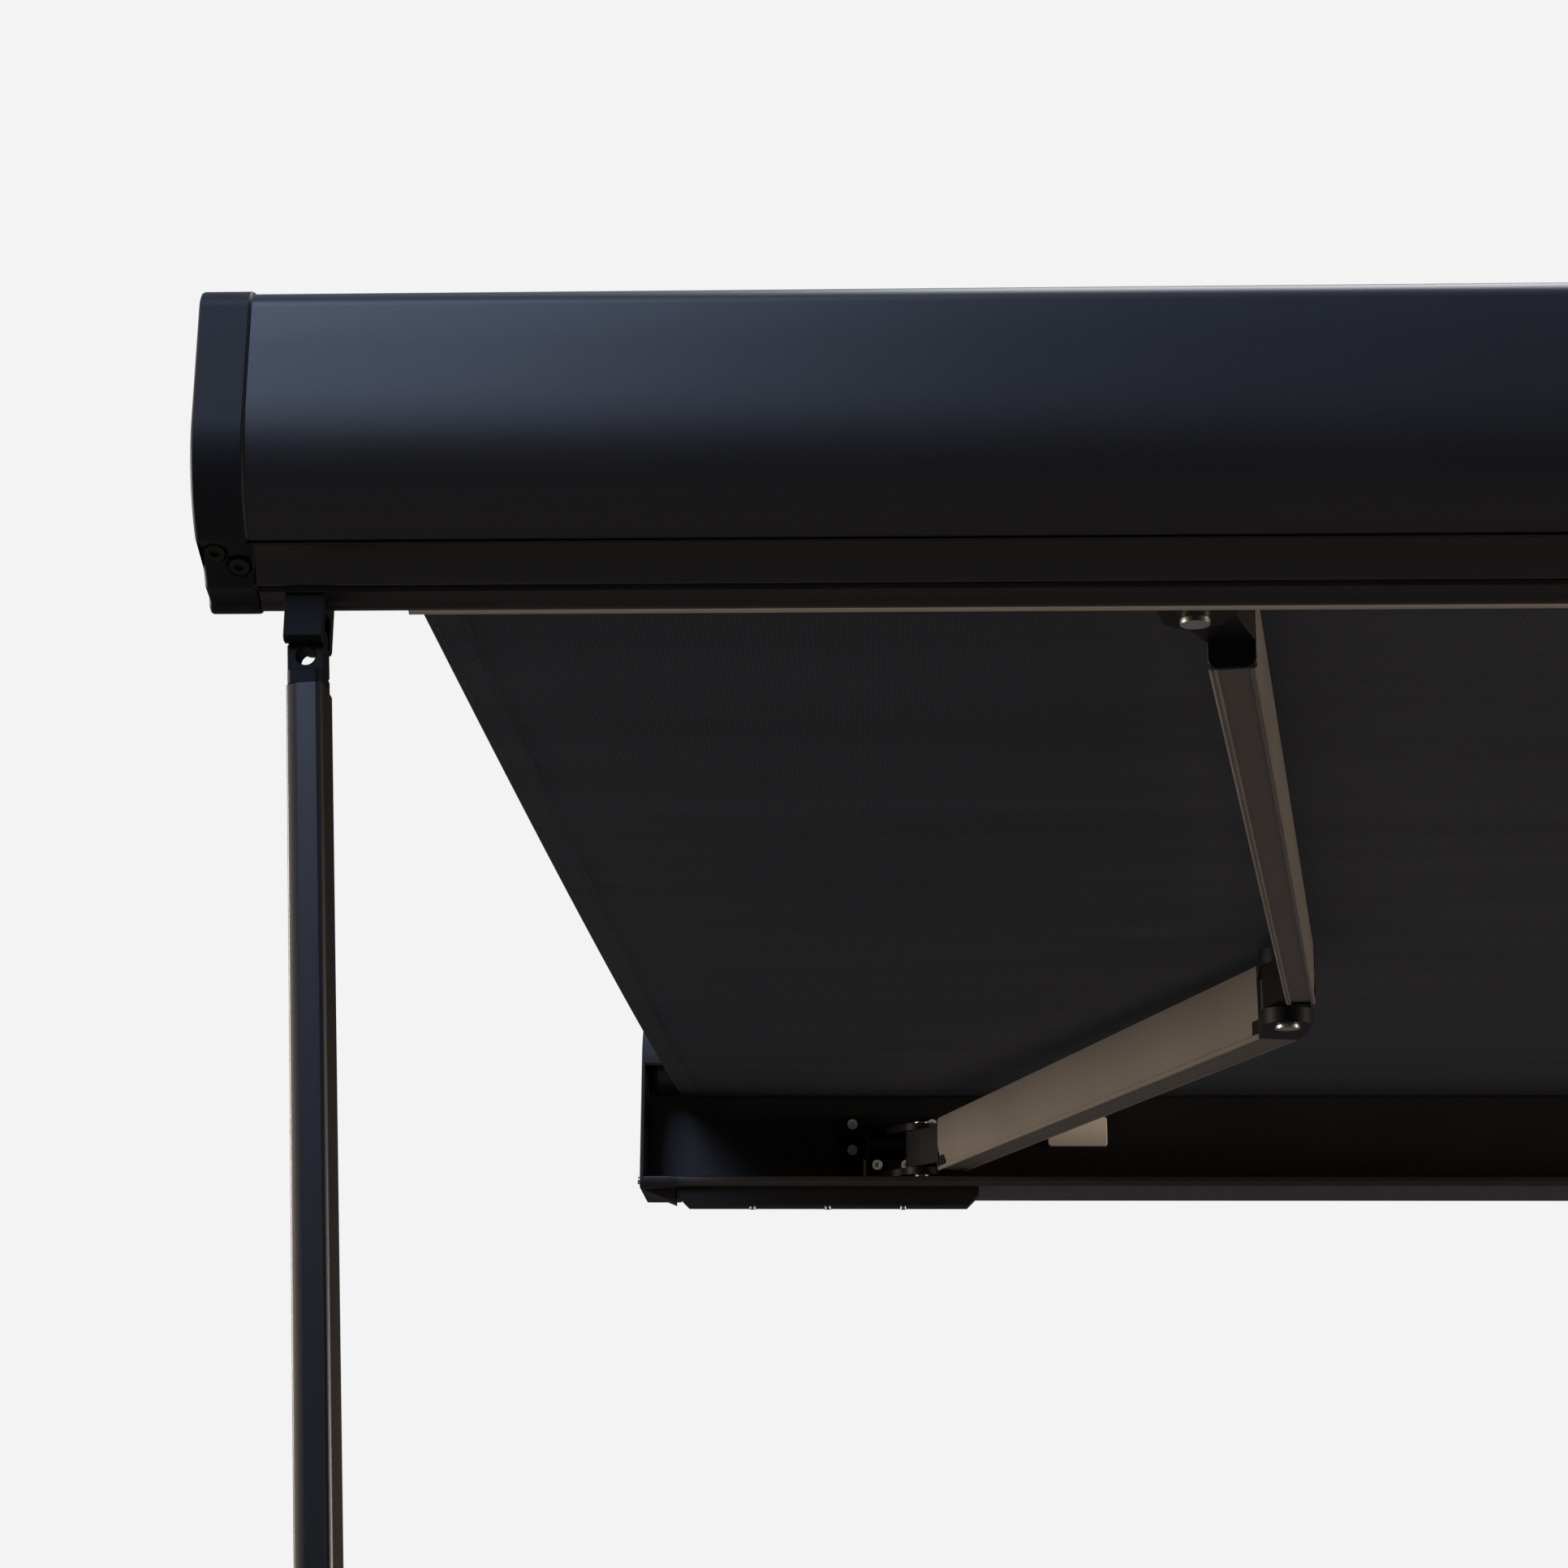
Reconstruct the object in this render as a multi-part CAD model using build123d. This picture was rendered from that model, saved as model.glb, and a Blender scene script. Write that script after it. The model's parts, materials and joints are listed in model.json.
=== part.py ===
from build123d import *
import math
import os

# Roll out awning for a caravan wall: a cassette, a fabric roller, two folding arms, a lead rail and two legs.
# Millimetres. +Z is up, the wall is the plane Y = 0 and the awning reaches out towards -Y.
# The origin is the centre of the middle wall bracket's bolt pattern, on the wall face.

# Overall lengths
CASE_LENGTH = 3464
RAIL_OVERHANG = 18
FABRIC_INSET = 46
RAIL_LENGTH = CASE_LENGTH + 2 * RAIL_OVERHANG
FABRIC_WIDTH = CASE_LENGTH - 2 * FABRIC_INSET

# Running clearance, seat clearance and overrun for cuts
PIN_PLAY = 0.05
SEAT = 0.3
FREE = 1.5
OVER = 1

# Cassette section
CASE_GAP = 12
CASE_DEPTH = 136
CASE_TOP = 118
CASE_BOTTOM = -102
CASE_WALL = 2.5
HOOD_FRONT_RADIUS = 62
HOOD_BACK_RADIUS = 18
CASE_FOOT_RADIUS = 7
HOOD_EDGE_Z = 52
LIP_HEIGHT = 10
LIP_BEAD_RADIUS = 2.5
SCREW_PORT_RADIUS = 5
SCREW_PORT_BORE = 2

# Cassette end caps
CAP_SLEEVE = 40
CAP_WALL = 4
CAP_SKIN = 2.5

# Wall brackets
BRACKET_WIDTH = 120
BRACKET_LOW = -70
BRACKET_HOOK_REACH = 60
BRACKET_HOOK = 5
BRACKET_INSET = 420
BOLT_SPACING_X = 80
BOLT_SPACING_Z = 70
BOLT_HOLE_RADIUS = 4.5
BOLT_HEAD_RADIUS = 9
BOLT_HEAD_DEPTH = 5

# Foot bars below the cassette ends
FOOT_BAR_LENGTH = 376
FOOT_BAR_HEIGHT = 22
FOOT_BAR_DEPTH = 34
FOOT_BAR_SETBACK = 16
FOOT_BAR_CHAMFER = 14
CAP_WEDGE = 16

# Small fasteners
SCREW_HEAD_RADIUS = 4.6
SCREW_HEAD_HEIGHT = 2.6
SCREW_SOCKET_RADIUS = 2.4
SCREW_SOCKET_DEPTH = 1.4
SCREW_SOCKET_SIDES = 6

# Roller and the fabric wound on it
ROLLER_Y = -62
ROLLER_Z = 60
ROLLER_RADIUS = 31.5
ROLLER_WALL = 2
ROLL_THICKNESS = 2.5
ROLLER_IDLE_GAP = 12
PLUG_LENGTH = 45
PLUG_FLANGE = 4
AXLE_RADIUS = 8
AXLE_LENGTH = 26

# Gearbox and crank eye
GEARBOX_WIDTH = 34
GEARBOX_HEIGHT = 78
GEARBOX_DEPTH = 66
GEARBOX_FILLET = 9
ROLLER_DRIVE_GAP = GEARBOX_WIDTH + PLUG_FLANGE + FREE
CRANK_SHAFT_RADIUS = 6
CRANK_DROP = 96
CRANK_EYE_RADIUS = 17
CRANK_EYE_WIRE = 4.5
CRANK_HOLE_CLEAR = 4

# Folding arms: pivots lie on the line, the tubes lie to one side of it
STRAIGHT = 180
ARM_FALL = 2.5
SHOULDER_Y = -62
ARM_Z = -44
SHOULDER_INSET = 352
UPPER_LENGTH = 1232
UPPER_OPEN = 76.3
FOREARM_SHARE = 1.045
TUBE_OFFSET = 2
UPPER_WIDTH = 38
UPPER_HEIGHT = 66
FOREARM_WIDTH = 24
FOREARM_HEIGHT = 54
ARM_WALL = 2.5
ARM_CORNER = 5
ARM_END_GAP = 72

# Shoulder joint
SHOULDER_PIN = 8
SHOULDER_EYE = 20
SHOULDER_EYE_HEIGHT = 46
SHOULDER_EAR = 9
SHOULDER_PLATE_LEFT = 105
SHOULDER_PLATE_RIGHT = 30
SHOULDER_PLATE_TOP = 47
SHOULDER_PLATE = 6
BARREL_RADIUS = 10
BARREL_LENGTH = 62
BARREL_END = 5
FLANGE_PLATE = 4
STEP_LENGTH = 75
STEP_FRONT = 24
STEP_TOP = -9
BOLT_SCALE = 1.4
PLATE_BOLT_LEFT = -88
PLATE_BOLT_RIGHT = 15
PLATE_BOLT_HIGH = 38
PLATE_BOLT_LOW = 5
STEP_BOLT_LEFT = -56
STEP_BOLT_RIGHT = -19

# Elbow joint
ELBOW_PIN = 8
ELBOW_EYE = 20
ELBOW_EYE_HEIGHT = 37
ELBOW_EAR = 22
ELBOW_WEB_START = 16

# Wrist joint
WRIST_PIN = 4.5
OPEN_PIVOT_PLAY = 7.6
WRIST_EYE = 16
WRIST_EYE_HEIGHT = 26
WRIST_EAR = 6
WRIST_END_GAP = 62
WRIST_BASE = 60
WRIST_PLATE = 14

# Springs inside the upper arms
SPRING_RADIUS = 13
SPRING_BORE = 9
SPRING_LENGTH = 460

# Pads that the folded arms rest against
PAD_LENGTH = 76
PAD_HEIGHT = 38
PAD_THICKNESS = 8
PAD_SHIFT = 164
PAD_RISE = 31

# Lead rail section, measured from the wrist axis
RAIL_FRONT = 107
RAIL_BACK = 60
RAIL_TOP = 105
RAIL_BOTTOM = -30
RAIL_WALL = 2.5
RAIL_TOP_RADIUS = 10
RAIL_STRAIGHT_END = 39
RAIL_SKIN_END_Y = 86
RAIL_SKIN_END_Z = -9
RAIL_STEP = 3
RAIL_BAND_END_Y = 62
RAIL_BAND_END_Z = -23
RAIL_BEAD_RADIUS = 4.5
RAIL_BEAD_Y = 48
KEDER_Z = 36
KEDER_RADIUS = 7
KEDER_SINK = 2
KEDER_BORE = 4.6
KEDER_SLOT = 3.4
HEM_RADIUS = 4.5
RAIL_CAP_LENGTH = 24
RAIL_CAP_SKIN = 1.2
RAIL_SCREW_FIRST = 7
RAIL_SCREW_SECOND = 17
RAIL_SCREW_SHIFT = 4
RAIL_SCREW_SINK = 4

# Fabric sheet
FABRIC_THICKNESS = 1.2
FABRIC_SAG = 10

# Legs
LEG_INSET = 45
LEG_Y = 44.5
LEG_PIVOT_DROP = 11
LEG_LEAN = 3.6
LEG_WIDTH = 17
LEG_DEPTH = 26
LEG_WALL = 1.6
LEG_CORNER = 3
HANGER_WIDTH = 18
HANGER_DROP = 6.5
HANGER_EAR = 6
HANGER_SKIN = 2
HANGER_PIN = 4
HANGER_PIN_HEAD = 1.2
KNEE_RADIUS = 8
KNEE_BODY = 13.5
KNEE_HOLE = 4.4
KNEE_HOLE_DROP = 5.5
COLLAR_HEIGHT = 7
COLLAR_STEP = 0.6
OUTER_LENGTH = 1150
INNER_LENGTH = 1130
INNER_INSERTED = 200
INNER_GAP = 0.5
CLAMP_HEIGHT = 44
CLAMP_SKIN = 5
LEVER_LENGTH = 56
LEVER_WIDTH = 12
LEVER_THICKNESS = 5
LEVER_PIN = 2.5
FOOT_LENGTH = 96
FOOT_WIDTH = 42
FOOT_THICKNESS = 5
FOOT_PIN = 4
FOOT_PIVOT_HEIGHT = 20
FOOT_EAR = 5


def mirrored(shape):
    """The same piece for the right-hand end."""
    return mirror(shape, about=Plane.YZ)


def along_x(face, start, end):
    """A prism of a face drawn with (Y, Z) coordinates, between two places along X."""
    return Pos(start, 0, 0) * extrude(Plane.YZ * face, end - start)


def box_between(low, high):
    """A block given by its lowest and highest corners."""
    size = [b - a for a, b in zip(low, high)]
    middle = [(a + b) / 2 for a, b in zip(low, high)]
    return Pos(*middle) * Box(*size)


def rod(start, end, radius):
    """A round bar between two points."""
    line = Vector(*end) - Vector(*start)
    plane = Plane(origin=start, z_dir=line)
    return extrude(plane * Circle(radius), line.length)


def polygon(*points):
    """A flat face with straight sides."""
    return make_face(Polyline(*points, close=True))


def hull_to_eye(radius, x_end, y_low, y_high):
    """Outline of a casting that runs from an eye at the origin to a tube end."""
    return make_hull((Circle(radius) + polygon(
        (x_end - OVER, y_low), (x_end, y_low), (x_end, y_high), (x_end - OVER, y_high))).edges())


def rounded_tube(length, width, height, wall, corner):
    """A hollow rectangular tube along +X with rounded corners."""
    outer = RectangleRounded(width, height, corner)
    inner = RectangleRounded(width - 2 * wall, height - 2 * wall, max(corner - wall, wall / 2))
    return extrude(Plane.YZ * (outer - inner), length)


def pan_screw(point, direction, size=1):
    """A button-head screw with a hexagon socket, its head standing on the surface at the point."""
    plane = Plane(origin=point, z_dir=direction)
    head = extrude(plane * Circle(SCREW_HEAD_RADIUS * size), SCREW_HEAD_HEIGHT * size)
    recess = plane.offset((SCREW_HEAD_HEIGHT - SCREW_SOCKET_DEPTH) * size)
    socket = RegularPolygon(SCREW_SOCKET_RADIUS * size, SCREW_SOCKET_SIDES)
    head -= extrude(recess * socket, SCREW_SOCKET_DEPTH * size + OVER)
    return head


# Places worked out from the sizes above
CASE_BACK = -CASE_GAP
CASE_FRONT = CASE_BACK - CASE_DEPTH
CASE_END = CASE_LENGTH / 2
RAIL_END = RAIL_LENGTH / 2
SHOULDER_X = -CASE_END + SHOULDER_INSET
ARM_TILT = Rot(ARM_FALL, 0, 0)
ARM_FRAME = Pos(0, SHOULDER_Y, ARM_Z) * ARM_TILT
SHOULDER_WALL = -(SHOULDER_Y - CASE_BACK + CASE_WALL)
CRANK_X = CASE_END - CAP_WALL - GEARBOX_WIDTH / 2
CRANK_Y = ROLLER_Y - ROLLER_RADIUS
FOREARM_OPEN = UPPER_OPEN * FOREARM_SHARE
UPPER_SHIFT = UPPER_LENGTH * (1 - math.cos(math.radians(UPPER_OPEN)))
FOREARM_LENGTH = UPPER_SHIFT / (1 - math.cos(math.radians(FOREARM_OPEN)))
ELBOW_X = SHOULDER_X + UPPER_LENGTH * math.cos(math.radians(UPPER_OPEN))
ELBOW_Y = -UPPER_LENGTH * math.sin(math.radians(UPPER_OPEN))
WRIST_X = ELBOW_X - FOREARM_LENGTH * math.cos(math.radians(FOREARM_OPEN))
WRIST_Y = ELBOW_Y - FOREARM_LENGTH * math.sin(math.radians(FOREARM_OPEN))
UPPER_FRAME = ARM_FRAME * Pos(SHOULDER_X, 0, 0) * Rot(0, 0, -UPPER_OPEN)
FOREARM_FRAME = ARM_FRAME * Pos(ELBOW_X, ELBOW_Y, 0) * Rot(0, 0, FOREARM_OPEN - STRAIGHT)
WRIST_FRAME = ARM_FRAME * Pos(WRIST_X, WRIST_Y, 0)
WRIST_POINT = (ARM_FRAME * Pos(0, WRIST_Y, 0)).position
RAIL_FRAME = Pos(0, WRIST_POINT.Y, WRIST_POINT.Z)
KEDER_Y = -RAIL_BACK + KEDER_RADIUS - KEDER_SINK
BAND_MIDDLE = (-(RAIL_SKIN_END_Y + RAIL_BAND_END_Y) / 2, (RAIL_SKIN_END_Z + RAIL_BAND_END_Z) / 2)
BAND_ALONG = Vector(RAIL_SKIN_END_Y - RAIL_BAND_END_Y, RAIL_BAND_END_Z - RAIL_SKIN_END_Z).normalized()
BAND_OUT = (0, BAND_ALONG.Y, -BAND_ALONG.X)


def corner(face, y, z):
    """The corner of a face that lies nearest to a place."""
    return face.vertices().sort_by_distance((y, z, 0))[0]


def case_outline():
    """The cassette's outside: a flat back, a rounded hood and small lower corners."""
    face = polygon((CASE_BACK, CASE_BOTTOM), (CASE_FRONT, CASE_BOTTOM),
                   (CASE_FRONT, CASE_TOP), (CASE_BACK, CASE_TOP))
    face = fillet(corner(face, CASE_FRONT, CASE_TOP), HOOD_FRONT_RADIUS)
    face = fillet(corner(face, CASE_BACK, CASE_TOP), HOOD_BACK_RADIUS)
    face = fillet(corner(face, CASE_FRONT, CASE_BOTTOM), CASE_FOOT_RADIUS)
    return fillet(corner(face, CASE_BACK, CASE_BOTTOM), CASE_FOOT_RADIUS)


def front_opening(reach):
    """The gap between the lower lip and the hood's edge, as a face that cuts the front wall."""
    low = CASE_BOTTOM + LIP_HEIGHT
    return polygon((CASE_FRONT - reach, low), (CASE_FRONT + HOOD_FRONT_RADIUS / 2, low),
                   (CASE_FRONT + HOOD_FRONT_RADIUS / 2, HOOD_EDGE_Z), (CASE_FRONT - reach, HOOD_EDGE_Z))


def screw_ports():
    """Places of the screw ports that run along the inside of the cassette."""
    reach = CASE_WALL + SCREW_PORT_RADIUS - SCREW_PORT_BORE
    return [(CASE_BACK - reach - HOOD_BACK_RADIUS / 4, CASE_TOP - reach - HOOD_BACK_RADIUS / 4),
            (CASE_BACK - reach, CASE_BOTTOM + reach + CASE_FOOT_RADIUS / 4),
            (CASE_FRONT + reach, CASE_BOTTOM + reach + CASE_FOOT_RADIUS / 4)]


def crank_hole():
    """The round hole that the crank's shaft passes through, as a cutter."""
    below = (CRANK_X, CRANK_Y, CASE_BOTTOM - CAP_SKIN - CAP_WEDGE)
    above = (CRANK_X, CRANK_Y, CASE_BOTTOM + LIP_HEIGHT)
    return rod(below, above, CRANK_SHAFT_RADIUS + CRANK_HOLE_CLEAR)


def case_shell():
    """The aluminium extrusion that everything hangs in, with its screw ports and the crank's hole."""
    outline = case_outline()
    inside = offset(outline, amount=-CASE_WALL)
    section = outline - inside - front_opening(OVER)
    lip = Pos(CASE_FRONT + LIP_BEAD_RADIUS, CASE_BOTTOM + LIP_HEIGHT) * Circle(LIP_BEAD_RADIUS)
    edge = Pos(CASE_FRONT + LIP_BEAD_RADIUS, HOOD_EDGE_Z) * Circle(LIP_BEAD_RADIUS)
    section = section + lip + edge
    for place in screw_ports():
        section += outline & (Pos(*place) * Circle(SCREW_PORT_RADIUS))
    for place in screw_ports():
        section -= Pos(*place) * Circle(SCREW_PORT_BORE)
    half = CASE_END - CAP_WALL
    shell = along_x(section, -half, half)
    return shell - crank_hole()


def case_end_cap():
    """Left end cap: a moulded cover over the cassette's end, with a wedge that leads to the foot bar."""
    outline = case_outline()
    skin = offset(outline, amount=CAP_SKIN)
    start = -CASE_END
    cap = along_x(skin, start, start + CAP_WALL)
    cap = fillet(cap.faces().sort_by(Axis.X)[0].edges(), CAP_SKIN / 2)
    sleeve = skin - offset(outline, amount=SEAT / 2) - front_opening(CAP_SKIN + OVER)
    cap += along_x(sleeve, start + CAP_WALL, start + CAP_WALL + CAP_SLEEVE)
    low = CASE_BOTTOM - CAP_SKIN
    high = low + CAP_SKIN / 2
    left = start + CAP_WALL
    right = left + CAP_SLEEVE
    wedge = polygon((left, high), (left, low), (right, low - CAP_WEDGE), (right, high))
    cap += Pos(0, CASE_FRONT + FOOT_BAR_SETBACK, 0) * extrude(Plane.XZ * wedge, -FOOT_BAR_DEPTH)
    return cap


def stub_axle():
    """The short axle on the left end cap that the roller turns on."""
    start = -CASE_END + CAP_WALL
    boss_end = start + ROLLER_IDLE_GAP - PLUG_FLANGE - SEAT
    boss = rod((start, ROLLER_Y, ROLLER_Z), (boss_end, ROLLER_Y, ROLLER_Z), 2 * AXLE_RADIUS)
    axle_end = start + ROLLER_IDLE_GAP + AXLE_LENGTH
    axle = rod((start, ROLLER_Y, ROLLER_Z), (axle_end, ROLLER_Y, ROLLER_Z), AXLE_RADIUS)
    return boss + axle


def wall_bracket(centre_x):
    """A wall plate with a hook over the cassette's top and four countersunk bolt holes."""
    half = BRACKET_WIDTH / 2
    hook = CASE_TOP + BRACKET_HOOK
    section = polygon((0, BRACKET_LOW), (CASE_BACK, BRACKET_LOW), (CASE_BACK, CASE_TOP - HOOD_BACK_RADIUS),
                      (CASE_BACK, hook), (0, hook))
    section += polygon((0, CASE_TOP), (CASE_BACK - BRACKET_HOOK_REACH, CASE_TOP),
                       (CASE_BACK - BRACKET_HOOK_REACH + BRACKET_HOOK, hook), (0, hook))
    bracket = along_x(section, centre_x - half, centre_x + half)
    upright = bracket.edges().filter_by(Axis.Y).group_by(Axis.Z)[0]
    bracket = fillet(upright, BRACKET_HOOK)
    for dx in (-BOLT_SPACING_X / 2, BOLT_SPACING_X / 2):
        for z in (-BOLT_SPACING_Z / 2, BOLT_SPACING_Z / 2):
            x = centre_x + dx
            bracket -= rod((x, OVER, z), (x, CASE_BACK - OVER, z), BOLT_HOLE_RADIUS)
            bracket -= rod((x, CASE_BACK + BOLT_HEAD_DEPTH, z), (x, CASE_BACK - OVER, z), BOLT_HEAD_RADIUS)
    return bracket


def case_foot():
    """The bar below the cassette's left end that stiffens it where the arm pulls."""
    start = -CASE_END + CAP_WALL + CAP_SLEEVE + FREE
    low = CASE_BOTTOM - FOOT_BAR_HEIGHT
    front = CASE_FRONT + FOOT_BAR_SETBACK
    end = start + FOOT_BAR_LENGTH
    face = polygon((start, CASE_BOTTOM), (start, low + FOOT_BAR_CHAMFER), (start + FOOT_BAR_CHAMFER, low),
                   (end - FOOT_BAR_CHAMFER, low), (end, low + FOOT_BAR_CHAMFER), (end, CASE_BOTTOM))
    bar = Pos(0, front, 0) * extrude(Plane.XZ * face, -FOOT_BAR_DEPTH)
    return bar


def foot_screw_places():
    """Places of the screws in the left foot bar."""
    start = -CASE_END + CAP_WALL + CAP_SLEEVE + FREE
    y = CASE_FRONT + FOOT_BAR_SETBACK + FOOT_BAR_DEPTH / 2
    low = CASE_BOTTOM - FOOT_BAR_HEIGHT
    return [(start + FOOT_BAR_LENGTH / 4, y, low), (start + FOOT_BAR_LENGTH / 2, y, low),
            (start + 3 * FOOT_BAR_LENGTH / 4, y, low)]


def case_screws():
    """The screws that hold the end caps and the foot bars, both ends."""
    screws = [pan_screw(p, (0, 0, -1)) for p in foot_screw_places()]
    for y, z in screw_ports():
        screws.append(pan_screw((-CASE_END, y, z), (-1, 0, 0)))
    return screws + [mirrored(s) for s in screws]


def shoulder_bracket():
    """Left shoulder: a screwed plate, a tilt barrel and two ears round the arm's eye."""
    wall = SHOULDER_WALL + OVER
    half_eye = SHOULDER_EYE_HEIGHT / 2 + SEAT
    outside = half_eye + SHOULDER_EAR
    foot = Pos(-SHOULDER_PLATE_LEFT / 4, wall - OVER / 2) * Rectangle(SHOULDER_PLATE_LEFT / 2, OVER)
    ear_face = make_hull((Circle(SHOULDER_EYE + SHOULDER_EAR / 2) + foot).edges())
    bracket = Pos(0, 0, -outside) * extrude(ear_face, SHOULDER_EAR)
    bracket += Pos(0, 0, half_eye) * extrude(ear_face, SHOULDER_EAR)
    plate_front = SHOULDER_WALL - SHOULDER_PLATE
    plate = box_between((-SHOULDER_PLATE_LEFT, plate_front, -outside),
                        (SHOULDER_PLATE_RIGHT, wall, SHOULDER_PLATE_TOP))
    bracket += fillet(plate.edges().filter_by(Axis.Y), SHOULDER_PLATE)
    barrel_left = -BARREL_END - BARREL_LENGTH
    barrel_y = plate_front - BARREL_RADIUS + OVER
    barrel_z = half_eye / 2
    bracket += rod((barrel_left, barrel_y, barrel_z), (-BARREL_END, barrel_y, barrel_z), BARREL_RADIUS)
    for x in (barrel_left - FLANGE_PLATE, -BARREL_END):
        flange = box_between((x, barrel_y - BARREL_RADIUS, -outside), (x + FLANGE_PLATE, wall, outside))
        front_edges = flange.edges().filter_by(Axis.X).group_by(Axis.Y)[0]
        bracket += fillet(front_edges, FLANGE_PLATE)
    bracket += box_between((-STEP_LENGTH, STEP_FRONT, -outside), (0, wall, STEP_TOP))
    bracket -= rod((0, 0, -2 * outside), (0, 0, 2 * outside), SHOULDER_PIN)
    bracket = ARM_FRAME * Pos(SHOULDER_X, 0, 0) * bracket
    behind = CASE_BACK - CASE_WALL
    return bracket - box_between((-CASE_END, behind, CASE_BOTTOM), (0, 0, CASE_TOP))


def shoulder_pin():
    """The headed pin that the left arm turns on."""
    reach = SHOULDER_EYE_HEIGHT / 2 + SEAT + SHOULDER_EAR
    pin = rod((0, 0, -reach), (0, 0, reach), SHOULDER_PIN)
    pin += rod((0, 0, reach), (0, 0, reach + SCREW_HEAD_HEIGHT), SHOULDER_PIN + SCREW_HEAD_HEIGHT)
    pin += rod((0, 0, -reach - SCREW_HEAD_HEIGHT), (0, 0, -reach), SHOULDER_PIN + SCREW_HEAD_HEIGHT)
    return ARM_FRAME * Pos(SHOULDER_X, 0, 0) * pin


def shoulder_bolts():
    """The bright bolts through the shoulder plates, both ends."""
    front = SHOULDER_WALL - SHOULDER_PLATE
    step_z = (STEP_TOP - SHOULDER_EYE_HEIGHT / 2 - SEAT) / 2
    places = [(x, front, z) for x in (PLATE_BOLT_LEFT, PLATE_BOLT_RIGHT)
              for z in (PLATE_BOLT_LOW, PLATE_BOLT_HIGH)]
    places += [(x, STEP_FRONT, step_z) for x in (STEP_BOLT_LEFT, STEP_BOLT_RIGHT)]
    frame = ARM_FRAME * Pos(SHOULDER_X, 0, 0)
    screws = [frame * pan_screw(place, (0, -1, 0), BOLT_SCALE) for place in places]
    return screws + [mirrored(s) for s in screws]


def arm_rest_pads():
    """Two nylon pads on the cassette's back wall that the folded arms rest against."""
    back = CASE_BACK - CASE_WALL
    start = SHOULDER_X + PAD_SHIFT
    low = ARM_Z + PAD_RISE - PAD_HEIGHT / 2
    pad = box_between((start, back - PAD_THICKNESS, low), (start + PAD_LENGTH, back, low + PAD_HEIGHT))
    pad = fillet(pad.edges().filter_by(Axis.Y), PAD_THICKNESS / 2)
    return [pad, mirrored(pad)]


ROLLER_LEFT = -CASE_END + CAP_WALL + ROLLER_IDLE_GAP
ROLLER_RIGHT = CASE_END - CAP_WALL - ROLLER_DRIVE_GAP


def roller_point(x):
    """A place on the roller's axis."""
    return (x, ROLLER_Y, ROLLER_Z)


def ring(start_x, end_x, outer, inner):
    """A tube about the roller's axis."""
    return rod(roller_point(start_x), roller_point(end_x), outer) - rod(
        roller_point(start_x - OVER), roller_point(end_x + OVER), inner)


def roller_tube():
    """The steel tube that the fabric winds on."""
    return ring(ROLLER_LEFT, ROLLER_RIGHT, ROLLER_RADIUS, ROLLER_RADIUS - ROLLER_WALL)


def roller_plugs():
    """The idle plug with its bore, and the drive plug with its shaft into the gearbox."""
    inside = ROLLER_RADIUS - ROLLER_WALL - PIN_PLAY
    idle = ring(ROLLER_LEFT - PLUG_FLANGE, ROLLER_LEFT, ROLLER_RADIUS, AXLE_RADIUS + PIN_PLAY)
    idle += ring(ROLLER_LEFT, ROLLER_LEFT + PLUG_LENGTH, inside, AXLE_RADIUS + PIN_PLAY)
    drive = rod(roller_point(ROLLER_RIGHT - PLUG_LENGTH), roller_point(ROLLER_RIGHT), inside)
    drive += rod(roller_point(ROLLER_RIGHT), roller_point(ROLLER_RIGHT + PLUG_FLANGE), ROLLER_RADIUS)
    gearbox_left = CASE_END - CAP_WALL - GEARBOX_WIDTH
    drive += rod(roller_point(ROLLER_RIGHT), roller_point(gearbox_left + GEARBOX_WIDTH / 2), AXLE_RADIUS)
    return [idle, drive]


def fabric_roll():
    """The last turns of fabric that stay on the roller when the awning is out."""
    half = FABRIC_WIDTH / 2
    return ring(-half, half, ROLLER_RADIUS + ROLL_THICKNESS, ROLLER_RADIUS)


def gearbox_housing():
    """The worm gearbox at the right end, with the roller's socket and the crank's bearing."""
    right = CASE_END - CAP_WALL
    left = right - GEARBOX_WIDTH
    low = ROLLER_Z - GEARBOX_HEIGHT / 2
    body = box_between((left, ROLLER_Y - GEARBOX_DEPTH / 2, low),
                       (right, ROLLER_Y + GEARBOX_DEPTH / 2, low + GEARBOX_HEIGHT))
    body = fillet(body.edges().filter_by(Axis.X), GEARBOX_FILLET)
    neck_low = (CRANK_X, CRANK_Y, low - GEARBOX_FILLET)
    body += rod(neck_low, (CRANK_X, CRANK_Y, ROLLER_Z), 2 * CRANK_SHAFT_RADIUS)
    socket_end = left + GEARBOX_WIDTH / 2 + FREE
    body -= rod(roller_point(left - OVER), roller_point(socket_end), AXLE_RADIUS + PIN_PLAY)
    body -= rod((CRANK_X, CRANK_Y, low - 2 * GEARBOX_FILLET), (CRANK_X, CRANK_Y, ROLLER_Z - AXLE_RADIUS),
                CRANK_SHAFT_RADIUS + PIN_PLAY)
    return body


def crank_eye():
    """The steel shaft that hangs out of the cassette and ends in the eye for the crank's hook."""
    top = (CRANK_X, CRANK_Y, ROLLER_Z - AXLE_RADIUS - FREE)
    eye_z = CASE_BOTTOM - CRANK_DROP / 2
    shaft = rod((CRANK_X, CRANK_Y, eye_z + CRANK_EYE_RADIUS), top, CRANK_SHAFT_RADIUS)
    eye = Pos(CRANK_X, CRANK_Y, eye_z) * Rot(90, 0, 0) * Torus(CRANK_EYE_RADIUS, CRANK_EYE_WIRE)
    return shaft + eye


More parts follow.
